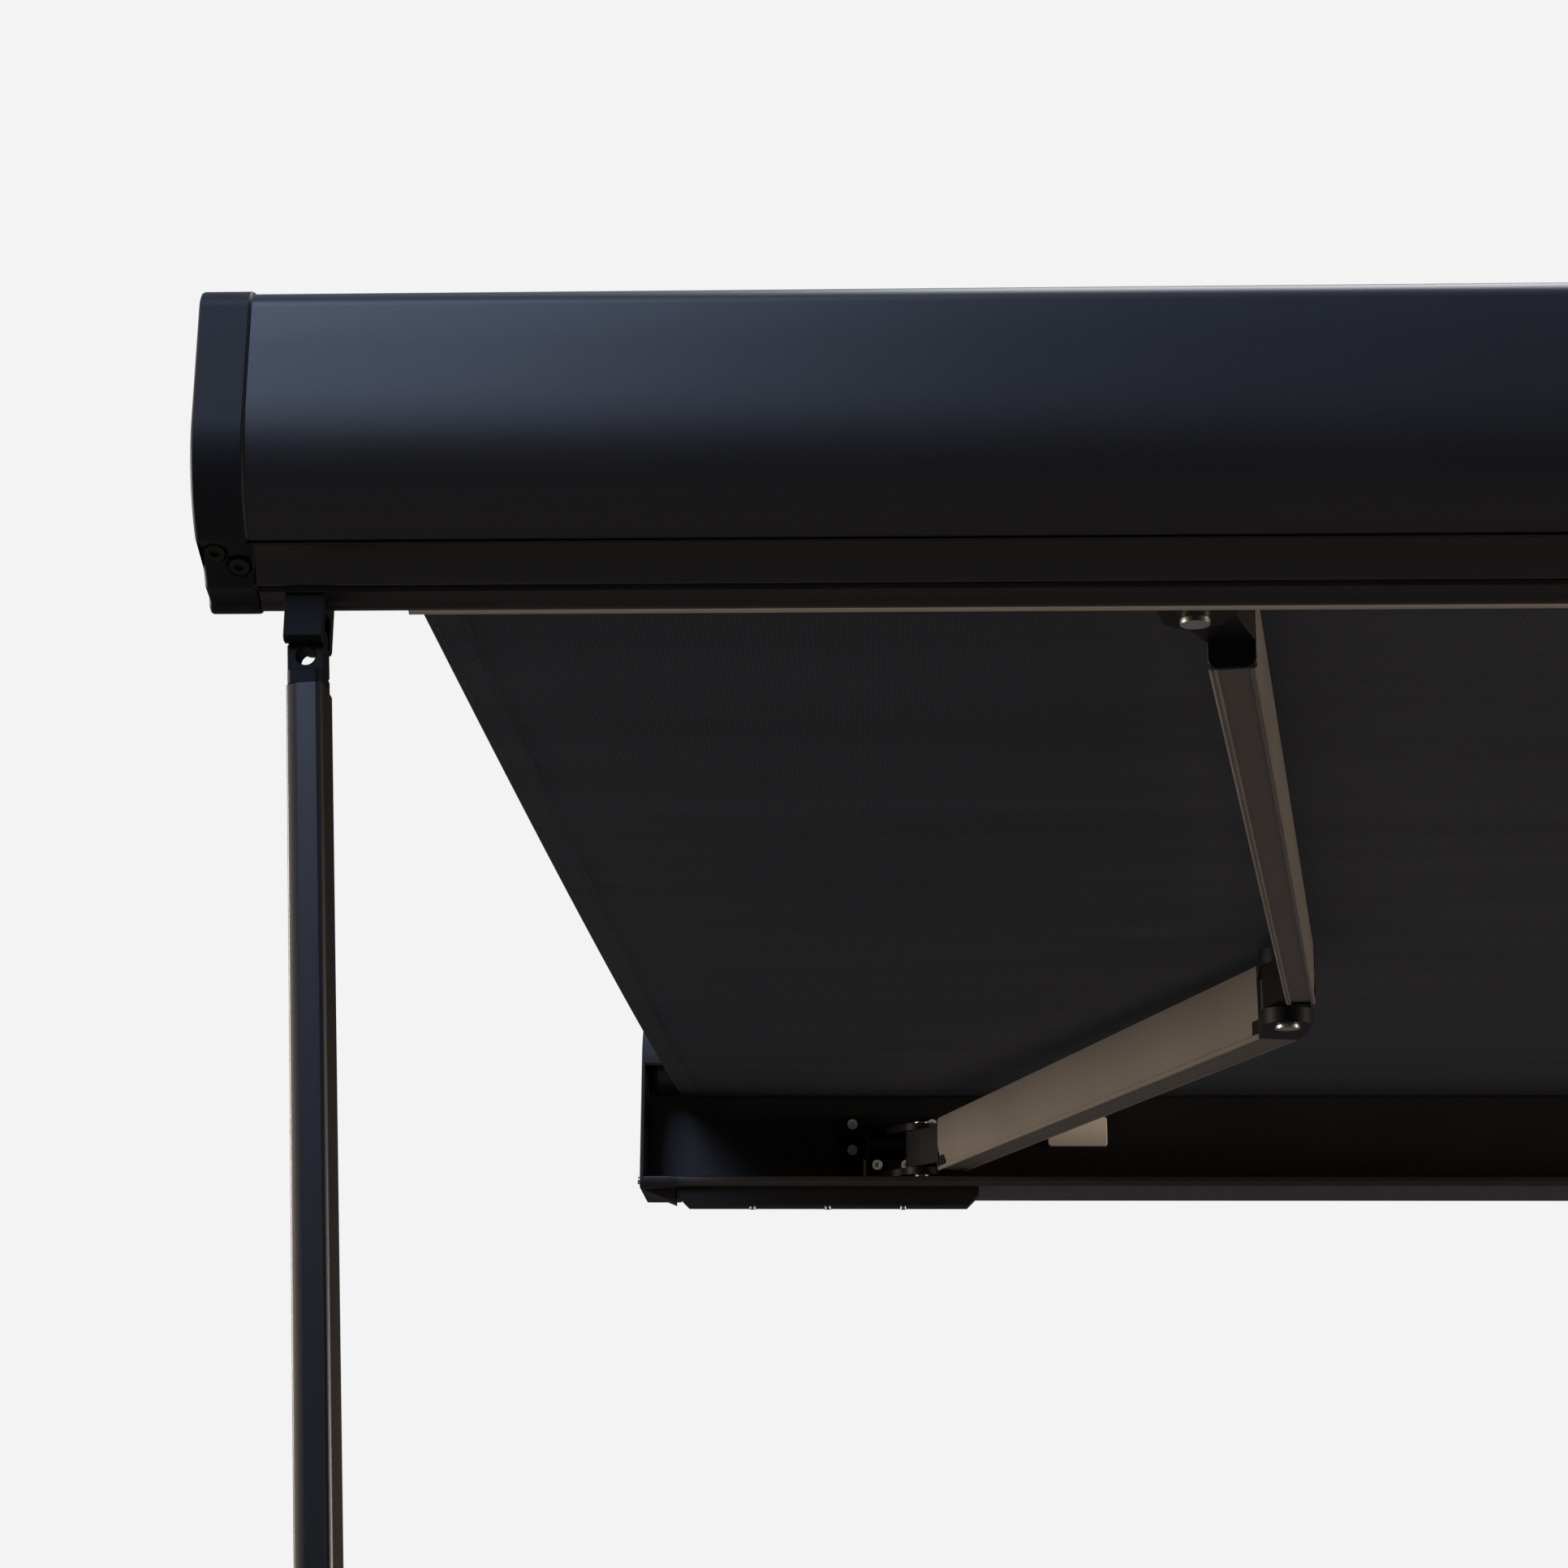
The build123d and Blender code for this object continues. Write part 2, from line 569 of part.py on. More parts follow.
def upper_arm_tube():
    """Left upper arm: an aluminium tube that lies to the wall side of its pivots."""
    length = UPPER_LENGTH - 2 * ARM_END_GAP
    tube = rounded_tube(length, UPPER_WIDTH, UPPER_HEIGHT, ARM_WALL, ARM_CORNER)
    return UPPER_FRAME * Pos(ARM_END_GAP, TUBE_OFFSET + UPPER_WIDTH / 2, 0) * tube


def arm_spring():
    """The tension spring inside the left upper arm, wound tight."""
    y = TUBE_OFFSET + UPPER_WIDTH / 2
    start = ARM_END_GAP + SHOULDER_EYE + SEAT
    spring = rod((start, y, 0), (start + SPRING_LENGTH, y, 0), SPRING_RADIUS)
    bore_end = start + SPRING_LENGTH + OVER
    spring -= rod((start - OVER, y, 0), (bore_end, y, 0), SPRING_BORE)
    return UPPER_FRAME * spring


def tube_spigot(x, reach, width, height, y_low):
    """The stub of a casting that plugs into a tube's end."""
    gap = ARM_WALL + SEAT / 2
    low = (min(x, x + reach), y_low + gap, -height / 2 + gap)
    high = (max(x, x + reach), y_low + width - gap, height / 2 - gap)
    spigot = box_between(low, high)
    return chamfer(spigot.edges().filter_by(Axis.X), ARM_CORNER / 2)


def shoulder_knuckle():
    """Left upper arm's root casting: an eye for the shoulder pin, a neck and a flange on the tube."""
    y_low = TUBE_OFFSET
    y_high = TUBE_OFFSET + UPPER_WIDTH
    half = SHOULDER_EYE_HEIGHT / 2
    neck = Pos(0, 0, -half) * extrude(hull_to_eye(SHOULDER_EYE, ARM_END_GAP, y_low, y_high), 2 * half)
    pocket_start = ARM_END_GAP - SHOULDER_EYE - SHOULDER_EAR
    for side in (-1, 1):
        pocket = box_between((pocket_start, y_low + SHOULDER_EAR, 0),
                             (ARM_END_GAP - SHOULDER_EAR, y_high - SHOULDER_EAR, half))
        pocket = fillet(pocket.edges().filter_by(Axis.Z), SHOULDER_EAR / 3)
        neck -= Pos(0, 0, side * SHOULDER_PLATE - (half if side < 0 else 0)) * pocket
    flange = Pos(ARM_END_GAP - SHOULDER_PLATE, y_low + UPPER_WIDTH / 2, 0) * extrude(
        Plane.YZ * RectangleRounded(UPPER_WIDTH, UPPER_HEIGHT, ARM_CORNER), SHOULDER_PLATE)
    casting = neck + flange + tube_spigot(ARM_END_GAP, SHOULDER_EYE, UPPER_WIDTH, UPPER_HEIGHT, y_low)
    casting -= rod((0, 0, -2 * half), (0, 0, 2 * half), SHOULDER_PIN + PIN_PLAY)
    return UPPER_FRAME * casting


def elbow_fork():
    """Left upper arm's end casting: two ears round the forearm's eye and a web on the wall side."""
    y_low = TUBE_OFFSET
    y_high = TUBE_OFFSET + UPPER_WIDTH
    half = UPPER_HEIGHT / 2
    gap = ELBOW_EYE_HEIGHT / 2 + SEAT
    face = hull_to_eye(ELBOW_EAR, ARM_END_GAP, y_low, y_high)
    ear_low = Pos(0, 0, -half) * extrude(face, half - gap)
    ear_high = Pos(0, 0, gap) * extrude(face, half - gap)
    casting = ear_low + ear_high
    web_x = ELBOW_EAR + SHOULDER_EAR
    web = polygon((ARM_END_GAP, y_low), (ARM_END_GAP - SHOULDER_EAR, y_low), (web_x, ELBOW_WEB_START),
                  (web_x, ELBOW_EAR + FREE), (ARM_END_GAP, y_high))
    casting += Pos(0, 0, -gap - OVER) * extrude(web, 2 * gap + 2 * OVER)
    casting = mirror(casting, about=Plane.YZ)
    casting += Pos(-ARM_END_GAP, 0, 0) * tube_spigot(0, -ELBOW_EAR, UPPER_WIDTH, UPPER_HEIGHT, y_low)
    casting -= rod((0, 0, -2 * half), (0, 0, 2 * half), ELBOW_PIN)
    return UPPER_FRAME * Pos(UPPER_LENGTH, 0, 0) * casting


def elbow_pin():
    """The headed pin of the left elbow."""
    half = UPPER_HEIGHT / 2
    head = ELBOW_PIN + SCREW_HEAD_HEIGHT
    pin = rod((0, 0, -half), (0, 0, half), ELBOW_PIN)
    pin += rod((0, 0, half), (0, 0, half + SCREW_HEAD_HEIGHT), head)
    pin += rod((0, 0, -half - SCREW_HEAD_HEIGHT), (0, 0, -half), head)
    return UPPER_FRAME * Pos(UPPER_LENGTH, 0, 0) * pin


def forearm_tube():
    """Left forearm: a slimmer tube, offset from its pivots the other way when folded."""
    length = FOREARM_LENGTH - ARM_END_GAP - WRIST_END_GAP
    tube = rounded_tube(length, FOREARM_WIDTH, FOREARM_HEIGHT, ARM_WALL, ARM_CORNER)
    return FOREARM_FRAME * Pos(ARM_END_GAP, TUBE_OFFSET + FOREARM_WIDTH / 2, 0) * tube


def elbow_eye():
    """Left forearm's root casting, which turns between the ears of the elbow."""
    half = ELBOW_EYE_HEIGHT / 2
    casting = Pos(0, 0, -half) * extrude(
        hull_to_eye(ELBOW_EYE, ARM_END_GAP, TUBE_OFFSET, TUBE_OFFSET + FOREARM_WIDTH), 2 * half)
    casting += tube_spigot(ARM_END_GAP, ELBOW_EYE, FOREARM_WIDTH, FOREARM_HEIGHT, TUBE_OFFSET)
    casting += Pos(ARM_END_GAP - FLANGE_PLATE, TUBE_OFFSET + FOREARM_WIDTH / 2, 0) * extrude(
        Plane.YZ * RectangleRounded(FOREARM_WIDTH, FOREARM_HEIGHT, ARM_CORNER), FLANGE_PLATE)
    casting -= rod((0, 0, -2 * half), (0, 0, 2 * half), ELBOW_PIN + PIN_PLAY)
    return FOREARM_FRAME * casting


def wrist_eye(play):
    """Left forearm's end casting, which turns in the lead rail's bracket with the given play."""
    half = WRIST_EYE_HEIGHT / 2
    casting = Pos(0, 0, -half) * extrude(
        hull_to_eye(WRIST_EYE, WRIST_END_GAP, TUBE_OFFSET, TUBE_OFFSET + FOREARM_WIDTH), 2 * half)
    casting += Pos(WRIST_END_GAP - FLANGE_PLATE, TUBE_OFFSET + FOREARM_WIDTH / 2, 0) * extrude(
        Plane.YZ * RectangleRounded(FOREARM_WIDTH, FOREARM_HEIGHT, ARM_CORNER), FLANGE_PLATE)
    casting = mirror(casting, about=Plane.YZ)
    casting += tube_spigot(-WRIST_END_GAP, -ELBOW_EYE, FOREARM_WIDTH, FOREARM_HEIGHT, TUBE_OFFSET)
    casting -= rod((0, 0, -2 * half), (0, 0, 2 * half), WRIST_PIN + play)
    return FOREARM_FRAME * Pos(FOREARM_LENGTH, 0, 0) * casting


def rail_outline():
    """The lead rail's outside: flat top, straight front that curls under, a hollow band and a bead."""
    top_back = (-RAIL_BACK, RAIL_TOP)
    top_front = (-RAIL_FRONT, RAIL_TOP - RAIL_TOP_RADIUS)
    straight_end = (-RAIL_FRONT, RAIL_STRAIGHT_END)
    skin_end = (-RAIL_SKIN_END_Y, RAIL_SKIN_END_Z)
    step = (-RAIL_SKIN_END_Y + RAIL_STEP, RAIL_SKIN_END_Z)
    band_end = (-RAIL_BAND_END_Y, RAIL_BAND_END_Z)
    band_middle = (BAND_MIDDLE[0] + RAIL_STEP, BAND_MIDDLE[1] + RAIL_STEP)
    bead_front = (-RAIL_BEAD_Y - RAIL_BEAD_RADIUS, RAIL_BOTTOM + RAIL_BEAD_RADIUS)
    bead_low = (-RAIL_BEAD_Y, RAIL_BOTTOM)
    bead_back = (-RAIL_BEAD_Y + RAIL_BEAD_RADIUS, RAIL_BOTTOM + RAIL_BEAD_RADIUS)
    web = (-RAIL_BACK, RAIL_SKIN_END_Z)
    lines = [
        Line(top_back, (-RAIL_FRONT + RAIL_TOP_RADIUS, RAIL_TOP)),
        RadiusArc((-RAIL_FRONT + RAIL_TOP_RADIUS, RAIL_TOP), top_front, -RAIL_TOP_RADIUS),
        Line(top_front, straight_end),
        TangentArc(straight_end, skin_end, tangent=(0, -1)),
        Line(skin_end, step),
        ThreePointArc(step, band_middle, band_end),
        Line(band_end, bead_front),
        ThreePointArc(bead_front, bead_low, bead_back),
        Line(bead_back, web),
        Line(web, top_back),
    ]
    return make_face(Wire(lines))


def keder_channel(bore):
    """The round channel on the rail's back that grips the fabric's hem bar, with its slot."""
    centre = Pos(KEDER_Y, KEDER_Z)
    slot_x = KEDER_RADIUS
    channel = Circle(KEDER_RADIUS) - Circle(bore) - Pos(slot_x, 0) * Rectangle(2 * slot_x, KEDER_SLOT)
    return centre * channel


def lead_rail():
    """The hollow aluminium rail that closes the cassette and holds the fabric's front hem."""
    outline = rail_outline()
    section = outline - offset(outline, amount=-RAIL_WALL)
    section += keder_channel(KEDER_BORE) - outline
    half = RAIL_END - RAIL_CAP_LENGTH
    return RAIL_FRAME * along_x(section, -half, half)


def band_screw_places():
    """Seats of the two screws in the hollow band of the left end cap."""
    places = []
    for x, shift in ((RAIL_SCREW_FIRST, -RAIL_SCREW_SHIFT), (RAIL_SCREW_SECOND, RAIL_SCREW_SHIFT)):
        seat = Vector(*BAND_MIDDLE) + BAND_ALONG * shift
        place = Vector(-RAIL_END + x, seat.X, seat.Y) - Vector(*BAND_OUT) * RAIL_SCREW_SINK
        places.append(tuple(place))
    return places


def rail_end_cap():
    """Left end cap of the lead rail, moulded a little proud of the rail, with flat seats for its screws."""
    face = offset(rail_outline(), amount=RAIL_CAP_SKIN)
    cap = along_x(face, -RAIL_END, -RAIL_END + RAIL_CAP_LENGTH)
    for place in band_screw_places():
        outside = Vector(*place) + Vector(*BAND_OUT) * RAIL_TOP_RADIUS
        cap -= rod(place, outside, SCREW_HEAD_RADIUS + SEAT)
    return RAIL_FRAME * cap


def rail_cap_screws():
    """Two dark screws in the hollow band of each rail end cap."""
    screws = [RAIL_FRAME * pan_screw(p, BAND_OUT) for p in band_screw_places()]
    return screws + [mirrored(s) for s in screws]


def hem_bar():
    """The plastic bar sewn into the fabric's front hem, held in the rail's channel."""
    half = FABRIC_WIDTH / 2
    return RAIL_FRAME * rod((-half, KEDER_Y, KEDER_Z), (half, KEDER_Y, KEDER_Z), HEM_RADIUS)


def wrist_bracket():
    """Left bracket on the rail's back with two ears round the forearm's eye."""
    gap = WRIST_EYE_HEIGHT / 2 + SEAT
    half = WRIST_BASE / 2
    foot = Pos(0, -RAIL_BACK + OVER / 2) * Rectangle(WRIST_BASE, OVER)
    face = make_hull((Circle(WRIST_EYE) + foot).edges())
    bracket = Pos(0, 0, -gap - WRIST_EAR) * extrude(face, WRIST_EAR)
    bracket += Pos(0, 0, gap) * extrude(face, WRIST_EAR)
    bracket = ARM_TILT * bracket
    tall = gap + WRIST_EAR
    bracket += box_between((-half, -RAIL_BACK, -tall), (half, -RAIL_BACK + WRIST_PLATE, tall))
    bracket -= ARM_TILT * rod((0, 0, -2 * gap), (0, 0, 2 * gap), WRIST_PIN)
    bracket = Pos(WRIST_X, 0, 0) * bracket
    outline = along_x(offset(rail_outline(), amount=PIN_PLAY), -RAIL_END, 0)
    return RAIL_FRAME * (bracket - outline)


def wrist_pin():
    """The headed pin of the left wrist."""
    reach = WRIST_EYE_HEIGHT / 2 + SEAT + WRIST_EAR
    head = WRIST_PIN + SCREW_HEAD_HEIGHT
    pin = rod((0, 0, -reach), (0, 0, reach), WRIST_PIN)
    pin += rod((0, 0, reach), (0, 0, reach + SCREW_HEAD_HEIGHT), head)
    pin += rod((0, 0, -reach - SCREW_HEAD_HEIGHT), (0, 0, -reach), head)
    return WRIST_FRAME * pin


def fabric_sheet():
    """The stretched canopy between the roller and the lead rail, with its shallow sag."""
    start = Vector(ROLLER_Y, ROLLER_Z - ROLLER_RADIUS - ROLL_THICKNESS - SEAT)
    end_y = WRIST_POINT.Y + KEDER_Y + HEM_RADIUS + SEAT
    end = Vector(end_y, WRIST_POINT.Z + KEDER_Z + FABRIC_THICKNESS / 2)
    middle = (start + end) / 2 - Vector(0, FABRIC_SAG)
    top = ThreePointArc(start, middle, end)
    down = Vector(0, -FABRIC_THICKNESS)
    low = ThreePointArc(end + down, middle + down, start + down)
    face = make_face(Wire([top, Line(end, end + down), low, Line(start + down, start)]))
    half = FABRIC_WIDTH / 2
    return along_x(face, -half, half)


LEG_X = -RAIL_END + LEG_INSET
LEG_TURN = Rot(0, -LEG_LEAN, 0)
LEG_FRAME = RAIL_FRAME * Pos(LEG_X, -LEG_Y, RAIL_BOTTOM - LEG_PIVOT_DROP) * LEG_TURN
OUTER_TOP = -HANGER_DROP - KNEE_BODY - COLLAR_HEIGHT
OUTER_LOW = OUTER_TOP - OUTER_LENGTH
INNER_TOP = OUTER_LOW + INNER_INSERTED
INNER_LOW = INNER_TOP - INNER_LENGTH


def leg_hanger():
    """Left hanger below the rail: a slotted block that carries the leg's pivot bolt, closed in front."""
    half = HANGER_WIDTH / 2
    depth = LEG_DEPTH / 2
    inside = depth - HANGER_EAR
    pivot = RAIL_BOTTOM - LEG_PIVOT_DROP
    block = box_between((-half, -depth, pivot - HANGER_DROP), (half, depth, RAIL_SKIN_END_Z))
    block = chamfer(block.edges().filter_by(Axis.X).group_by(Axis.Z)[0], HANGER_SKIN)
    slot_top = pivot + KNEE_RADIUS + FREE
    block -= box_between((-LEG_WIDTH, -inside, pivot - LEG_WIDTH), (LEG_WIDTH, inside, slot_top))
    block -= rod((0, HANGER_SKIN - depth, pivot), (0, LEG_DEPTH, pivot), HANGER_PIN)
    outline = along_x(offset(rail_outline(), amount=PIN_PLAY), -LEG_INSET, LEG_INSET)
    block = Pos(LEG_X, -LEG_Y, 0) * block
    return RAIL_FRAME * (block - Pos(LEG_X, 0, 0) * outline)


def hanger_pin():
    """The leg's pivot bolt, put in from behind, with a thin flat head there."""
    depth = LEG_DEPTH / 2
    pin = rod((0, HANGER_SKIN - depth, 0), (0, depth, 0), HANGER_PIN)
    return LEG_FRAME * (pin + rod((0, depth, 0), (0, depth + HANGER_PIN_HEAD, 0), HANGER_PIN + HANGER_SKIN))


def leg_knee():
    """The knee casting at the leg's top: a drilled plate on the pivot bolt that stands on a collar."""
    half = LEG_WIDTH / 2
    tongue = LEG_DEPTH / 2 - HANGER_EAR - SEAT
    knee = rod((0, -tongue, 0), (0, tongue, 0), KNEE_RADIUS)
    knee += box_between((-KNEE_RADIUS, -tongue, -HANGER_DROP), (KNEE_RADIUS, tongue, 0))
    knee += box_between((-half, -tongue, OUTER_TOP + COLLAR_HEIGHT), (half, tongue, -HANGER_DROP))
    less = 2 * COLLAR_STEP
    knee += Pos(0, 0, OUTER_TOP) * extrude(
        RectangleRounded(LEG_WIDTH - less, LEG_DEPTH - less, LEG_CORNER), COLLAR_HEIGHT)
    hole_z = -HANGER_DROP - KNEE_HOLE_DROP
    knee -= rod((0, -LEG_DEPTH, hole_z), (0, LEG_DEPTH, hole_z), KNEE_HOLE)
    knee -= rod((0, -LEG_DEPTH, 0), (0, LEG_DEPTH, 0), HANGER_PIN + PIN_PLAY)
    return LEG_FRAME * knee


def leg_tube(width, depth, wall, low, length):
    """A hollow leg tube that stands on a height."""
    outer = RectangleRounded(width, depth, LEG_CORNER)
    inner = RectangleRounded(width - 2 * wall, depth - 2 * wall, LEG_CORNER - wall / 2)
    return Pos(0, 0, low) * extrude(outer - inner, length)


def leg_outer():
    """The leg's outer tube."""
    return LEG_FRAME * leg_tube(LEG_WIDTH, LEG_DEPTH, LEG_WALL, OUTER_LOW, OUTER_LENGTH)


def leg_inner():
    """The leg's inner tube, which slides up into the outer tube and carries the foot's pin."""
    less = 2 * (LEG_WALL + INNER_GAP)
    tube = leg_tube(LEG_WIDTH - less, LEG_DEPTH - less, LEG_WALL, INNER_LOW, INNER_LENGTH)
    pin_z = INNER_LOW - FOOT_PIN
    plug = Pos(0, 0, pin_z - FOOT_PIN) * extrude(
        RectangleRounded(LEG_WIDTH - less, LEG_DEPTH - less, LEG_CORNER), 2 * FOOT_PIN)
    pin_reach = LEG_DEPTH / 2 + FOOT_EAR
    pin = rod((0, -pin_reach, pin_z), (0, pin_reach, pin_z), FOOT_PIN)
    return LEG_FRAME * (tube + plug + pin)


def leg_clamp():
    """The moulded clamp at the outer tube's lower end, with the ears for its lever."""
    low = OUTER_LOW
    width = LEG_WIDTH + 2 * CLAMP_SKIN
    depth = LEG_DEPTH + 2 * CLAMP_SKIN
    sleeve = RectangleRounded(width, depth, LEG_CORNER + CLAMP_SKIN / 2) - RectangleRounded(
        LEG_WIDTH + PIN_PLAY, LEG_DEPTH + PIN_PLAY, LEG_CORNER)
    clamp = Pos(0, 0, low) * extrude(sleeve, CLAMP_HEIGHT)
    lever_y = -depth / 2 - LEVER_THICKNESS
    lever_z = low + CLAMP_HEIGHT - LEVER_THICKNESS
    ear_x = LEVER_WIDTH / 2 + SEAT
    for side in (-1, 1):
        inner = side * ear_x
        outer = side * (width / 2)
        clamp += box_between((min(inner, outer), lever_y - LEVER_THICKNESS / 2, lever_z - LEVER_THICKNESS),
                             (max(inner, outer), -depth / 2 + OVER, low + CLAMP_HEIGHT))
    clamp += rod((-width / 2, lever_y, lever_z), (width / 2, lever_y, lever_z), LEVER_PIN)
    return LEG_FRAME * clamp


def clamp_lever():
    """The cam lever that tightens the clamp, lying down along it."""
    depth = LEG_DEPTH + 2 * CLAMP_SKIN
    y = -depth / 2 - LEVER_THICKNESS
    z = OUTER_LOW + CLAMP_HEIGHT - LEVER_THICKNESS
    half = LEVER_WIDTH / 2
    lever = rod((-half, y, z), (half, y, z), LEVER_THICKNESS - SEAT)
    thick = LEVER_THICKNESS / 2
    lever += box_between((-half, y - thick, z - LEVER_LENGTH), (half, y + thick, z))
    lever -= rod((-LEG_WIDTH, y, z), (LEG_WIDTH, y, z), LEVER_PIN + PIN_PLAY)
    return LEG_FRAME * lever


def foot_frame():
    """The left foot's place: upright, on the leg's lowest pin."""
    pin = (LEG_FRAME * Pos(0, 0, INNER_LOW - FOOT_PIN)).position
    return Pos(pin.X, pin.Y, pin.Z)


def leg_foot():
    """The left foot: a ground plate with two ears on the leg's pin and a peg hole at each end."""
    foot = Pos(0, 0, -FOOT_PIVOT_HEIGHT) * extrude(
        RectangleRounded(FOOT_LENGTH, FOOT_WIDTH, FOOT_WIDTH / 4), FOOT_THICKNESS)
    inner = LEG_DEPTH / 2 + SEAT
    for side in (-1, 1):
        near = side * inner
        far = side * (inner + FOOT_EAR - 2 * SEAT)
        foot += box_between((-2 * FOOT_PIN, min(near, far), -FOOT_PIVOT_HEIGHT),
                            (2 * FOOT_PIN, max(near, far), 0))
        foot += rod((0, near, 0), (0, far, 0), 2 * FOOT_PIN)
        hole_x = side * (FOOT_LENGTH / 2 - FOOT_WIDTH / 4)
        foot -= rod((hole_x, 0, -2 * FOOT_PIVOT_HEIGHT), (hole_x, 0, 0), FOOT_PIN)
    foot -= rod((0, -FOOT_WIDTH, 0), (0, FOOT_WIDTH, 0), FOOT_PIN + PIN_PLAY)
    return foot_frame() * foot


def pair(name, piece):
    """The nodes of a piece that the awning has at both ends."""
    return {name + "_left": piece, name + "_right": mirrored(piece)}


def all_nodes():
    """Every node of the awning, by name."""
    nodes = {"case_shell": case_shell()}
    nodes["case_end_cap_left"] = case_end_cap() + stub_axle()
    nodes["case_end_cap_right"] = mirrored(case_end_cap()) - crank_hole()
    left = -CASE_END + BRACKET_INSET
    nodes["wall_bracket_left"] = wall_bracket(left)
    nodes["wall_bracket_centre"] = wall_bracket(0)
    nodes["wall_bracket_right"] = wall_bracket(-left)
    nodes.update(pair("case_foot", case_foot()))
    nodes["case_screws"] = case_screws()
    nodes.update(pair("shoulder_bracket", shoulder_bracket()))
    nodes["shoulder_pins"] = [shoulder_pin(), mirrored(shoulder_pin())]
    nodes["shoulder_bolts"] = shoulder_bolts()
    nodes["arm_rest_pads"] = arm_rest_pads()
    nodes["roller_tube"] = roller_tube()
    nodes["roller_plugs"] = roller_plugs()
    nodes["fabric_roll"] = fabric_roll()
    nodes["gearbox_housing"] = gearbox_housing()
    nodes["crank_eye"] = crank_eye()
    nodes["fabric_sheet"] = fabric_sheet()
    nodes.update(pair("upper_arm", upper_arm_tube()))
    nodes.update(pair("arm_spring", arm_spring()))
    nodes.update(pair("shoulder_knuckle", shoulder_knuckle()))
    nodes.update(pair("elbow_fork", elbow_fork()))
    nodes.update(pair("elbow_pin", elbow_pin()))
    nodes.update(pair("forearm", forearm_tube()))
    nodes.update(pair("elbow_eye", elbow_eye()))
    nodes["wrist_eye_left"] = wrist_eye(PIN_PLAY)
    nodes["wrist_eye_right"] = mirrored(wrist_eye(OPEN_PIVOT_PLAY))
    nodes["lead_rail"] = lead_rail()
    nodes.update(pair("rail_end_cap", rail_end_cap()))
    nodes["rail_cap_screws"] = rail_cap_screws()
    nodes["hem_bar"] = hem_bar()
    nodes.update(pair("wrist_bracket", wrist_bracket()))
    nodes["wrist_pins"] = [wrist_pin(), mirrored(wrist_pin())]
    nodes.update(pair("leg_hanger", leg_hanger()))
    nodes["hanger_pins"] = [hanger_pin(), mirrored(hanger_pin())]
    nodes.update(pair("leg_knee", leg_knee()))
    nodes.update(pair("leg_outer", leg_outer()))
    nodes.update(pair("leg_clamp", leg_clamp()))
    nodes.update(pair("clamp_lever", clamp_lever()))
    nodes.update(pair("leg_inner", leg_inner()))
    nodes.update(pair("leg_foot", leg_foot()))
    return nodes


def write_nodes():
    """Writes one STEP file for each node and prints its number of solids."""
    os.makedirs("parts", exist_ok=True)
    for name, shape in all_nodes().items():
        solids = [s for piece in (shape if isinstance(shape, list) else [shape]) for s in piece.solids()]
        body = solids[0] if len(solids) == 1 else Compound(children=solids)
        export_step(body, os.path.join("parts", name + ".step"))
        print(name, len(solids))


write_nodes()
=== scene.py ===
import json
import math
import bmesh
import bpy
from mathutils import Matrix, Vector


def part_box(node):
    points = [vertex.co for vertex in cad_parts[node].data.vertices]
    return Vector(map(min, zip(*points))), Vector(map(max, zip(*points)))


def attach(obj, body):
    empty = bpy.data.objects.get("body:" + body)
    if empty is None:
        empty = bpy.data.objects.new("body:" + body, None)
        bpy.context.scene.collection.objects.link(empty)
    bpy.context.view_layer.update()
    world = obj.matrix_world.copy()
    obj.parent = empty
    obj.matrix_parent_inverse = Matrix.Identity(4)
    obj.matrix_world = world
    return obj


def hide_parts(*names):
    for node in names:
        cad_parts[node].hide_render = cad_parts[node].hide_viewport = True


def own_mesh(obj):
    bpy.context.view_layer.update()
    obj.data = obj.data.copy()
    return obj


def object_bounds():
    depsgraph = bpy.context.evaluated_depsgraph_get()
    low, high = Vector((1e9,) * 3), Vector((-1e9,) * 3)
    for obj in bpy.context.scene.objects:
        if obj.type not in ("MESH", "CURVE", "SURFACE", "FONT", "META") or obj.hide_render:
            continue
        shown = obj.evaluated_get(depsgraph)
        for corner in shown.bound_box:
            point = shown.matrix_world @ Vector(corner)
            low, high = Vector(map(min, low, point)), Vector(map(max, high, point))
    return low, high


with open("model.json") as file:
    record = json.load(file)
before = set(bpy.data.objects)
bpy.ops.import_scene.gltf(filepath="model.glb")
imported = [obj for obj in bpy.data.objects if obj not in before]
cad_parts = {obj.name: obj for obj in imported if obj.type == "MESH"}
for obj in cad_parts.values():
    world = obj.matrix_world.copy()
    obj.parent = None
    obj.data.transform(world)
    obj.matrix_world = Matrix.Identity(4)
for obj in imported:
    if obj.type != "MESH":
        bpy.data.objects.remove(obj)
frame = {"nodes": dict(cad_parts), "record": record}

cad_box = [list(corner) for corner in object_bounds()]


# Studio: a pale backdrop, a paper floor under the feet, soft lamps, and the camera that stands low in
# front of the rail's left end and looks up at the underside. Only the camera sees the pale tones: the
# object stands between a blue sky and a dull brown ground, as it would out of doors.
def linear(hex_colour):
    """An sRGB hex colour as linear RGBA."""
    parts = [int(hex_colour[i:i + 2], 16) / 255 for i in (1, 3, 5)]
    return (*[c / 12.92 if c <= 0.04045 else ((c + 0.055) / 1.055) ** 2.4 for c in parts], 1.0)


def add(tree, kind, settings=None, sockets=None):
    """Adds a node, sets its properties, and sets or links its sockets by name or number."""
    made = tree.nodes.new(kind)
    for name, value in (settings or {}).items():
        setattr(made, name, value)
    for name, value in (sockets or {}).items():
        if isinstance(value, bpy.types.NodeSocket):
            tree.links.new(value, made.inputs[name])
        else:
            made.inputs[name].default_value = value
    return made


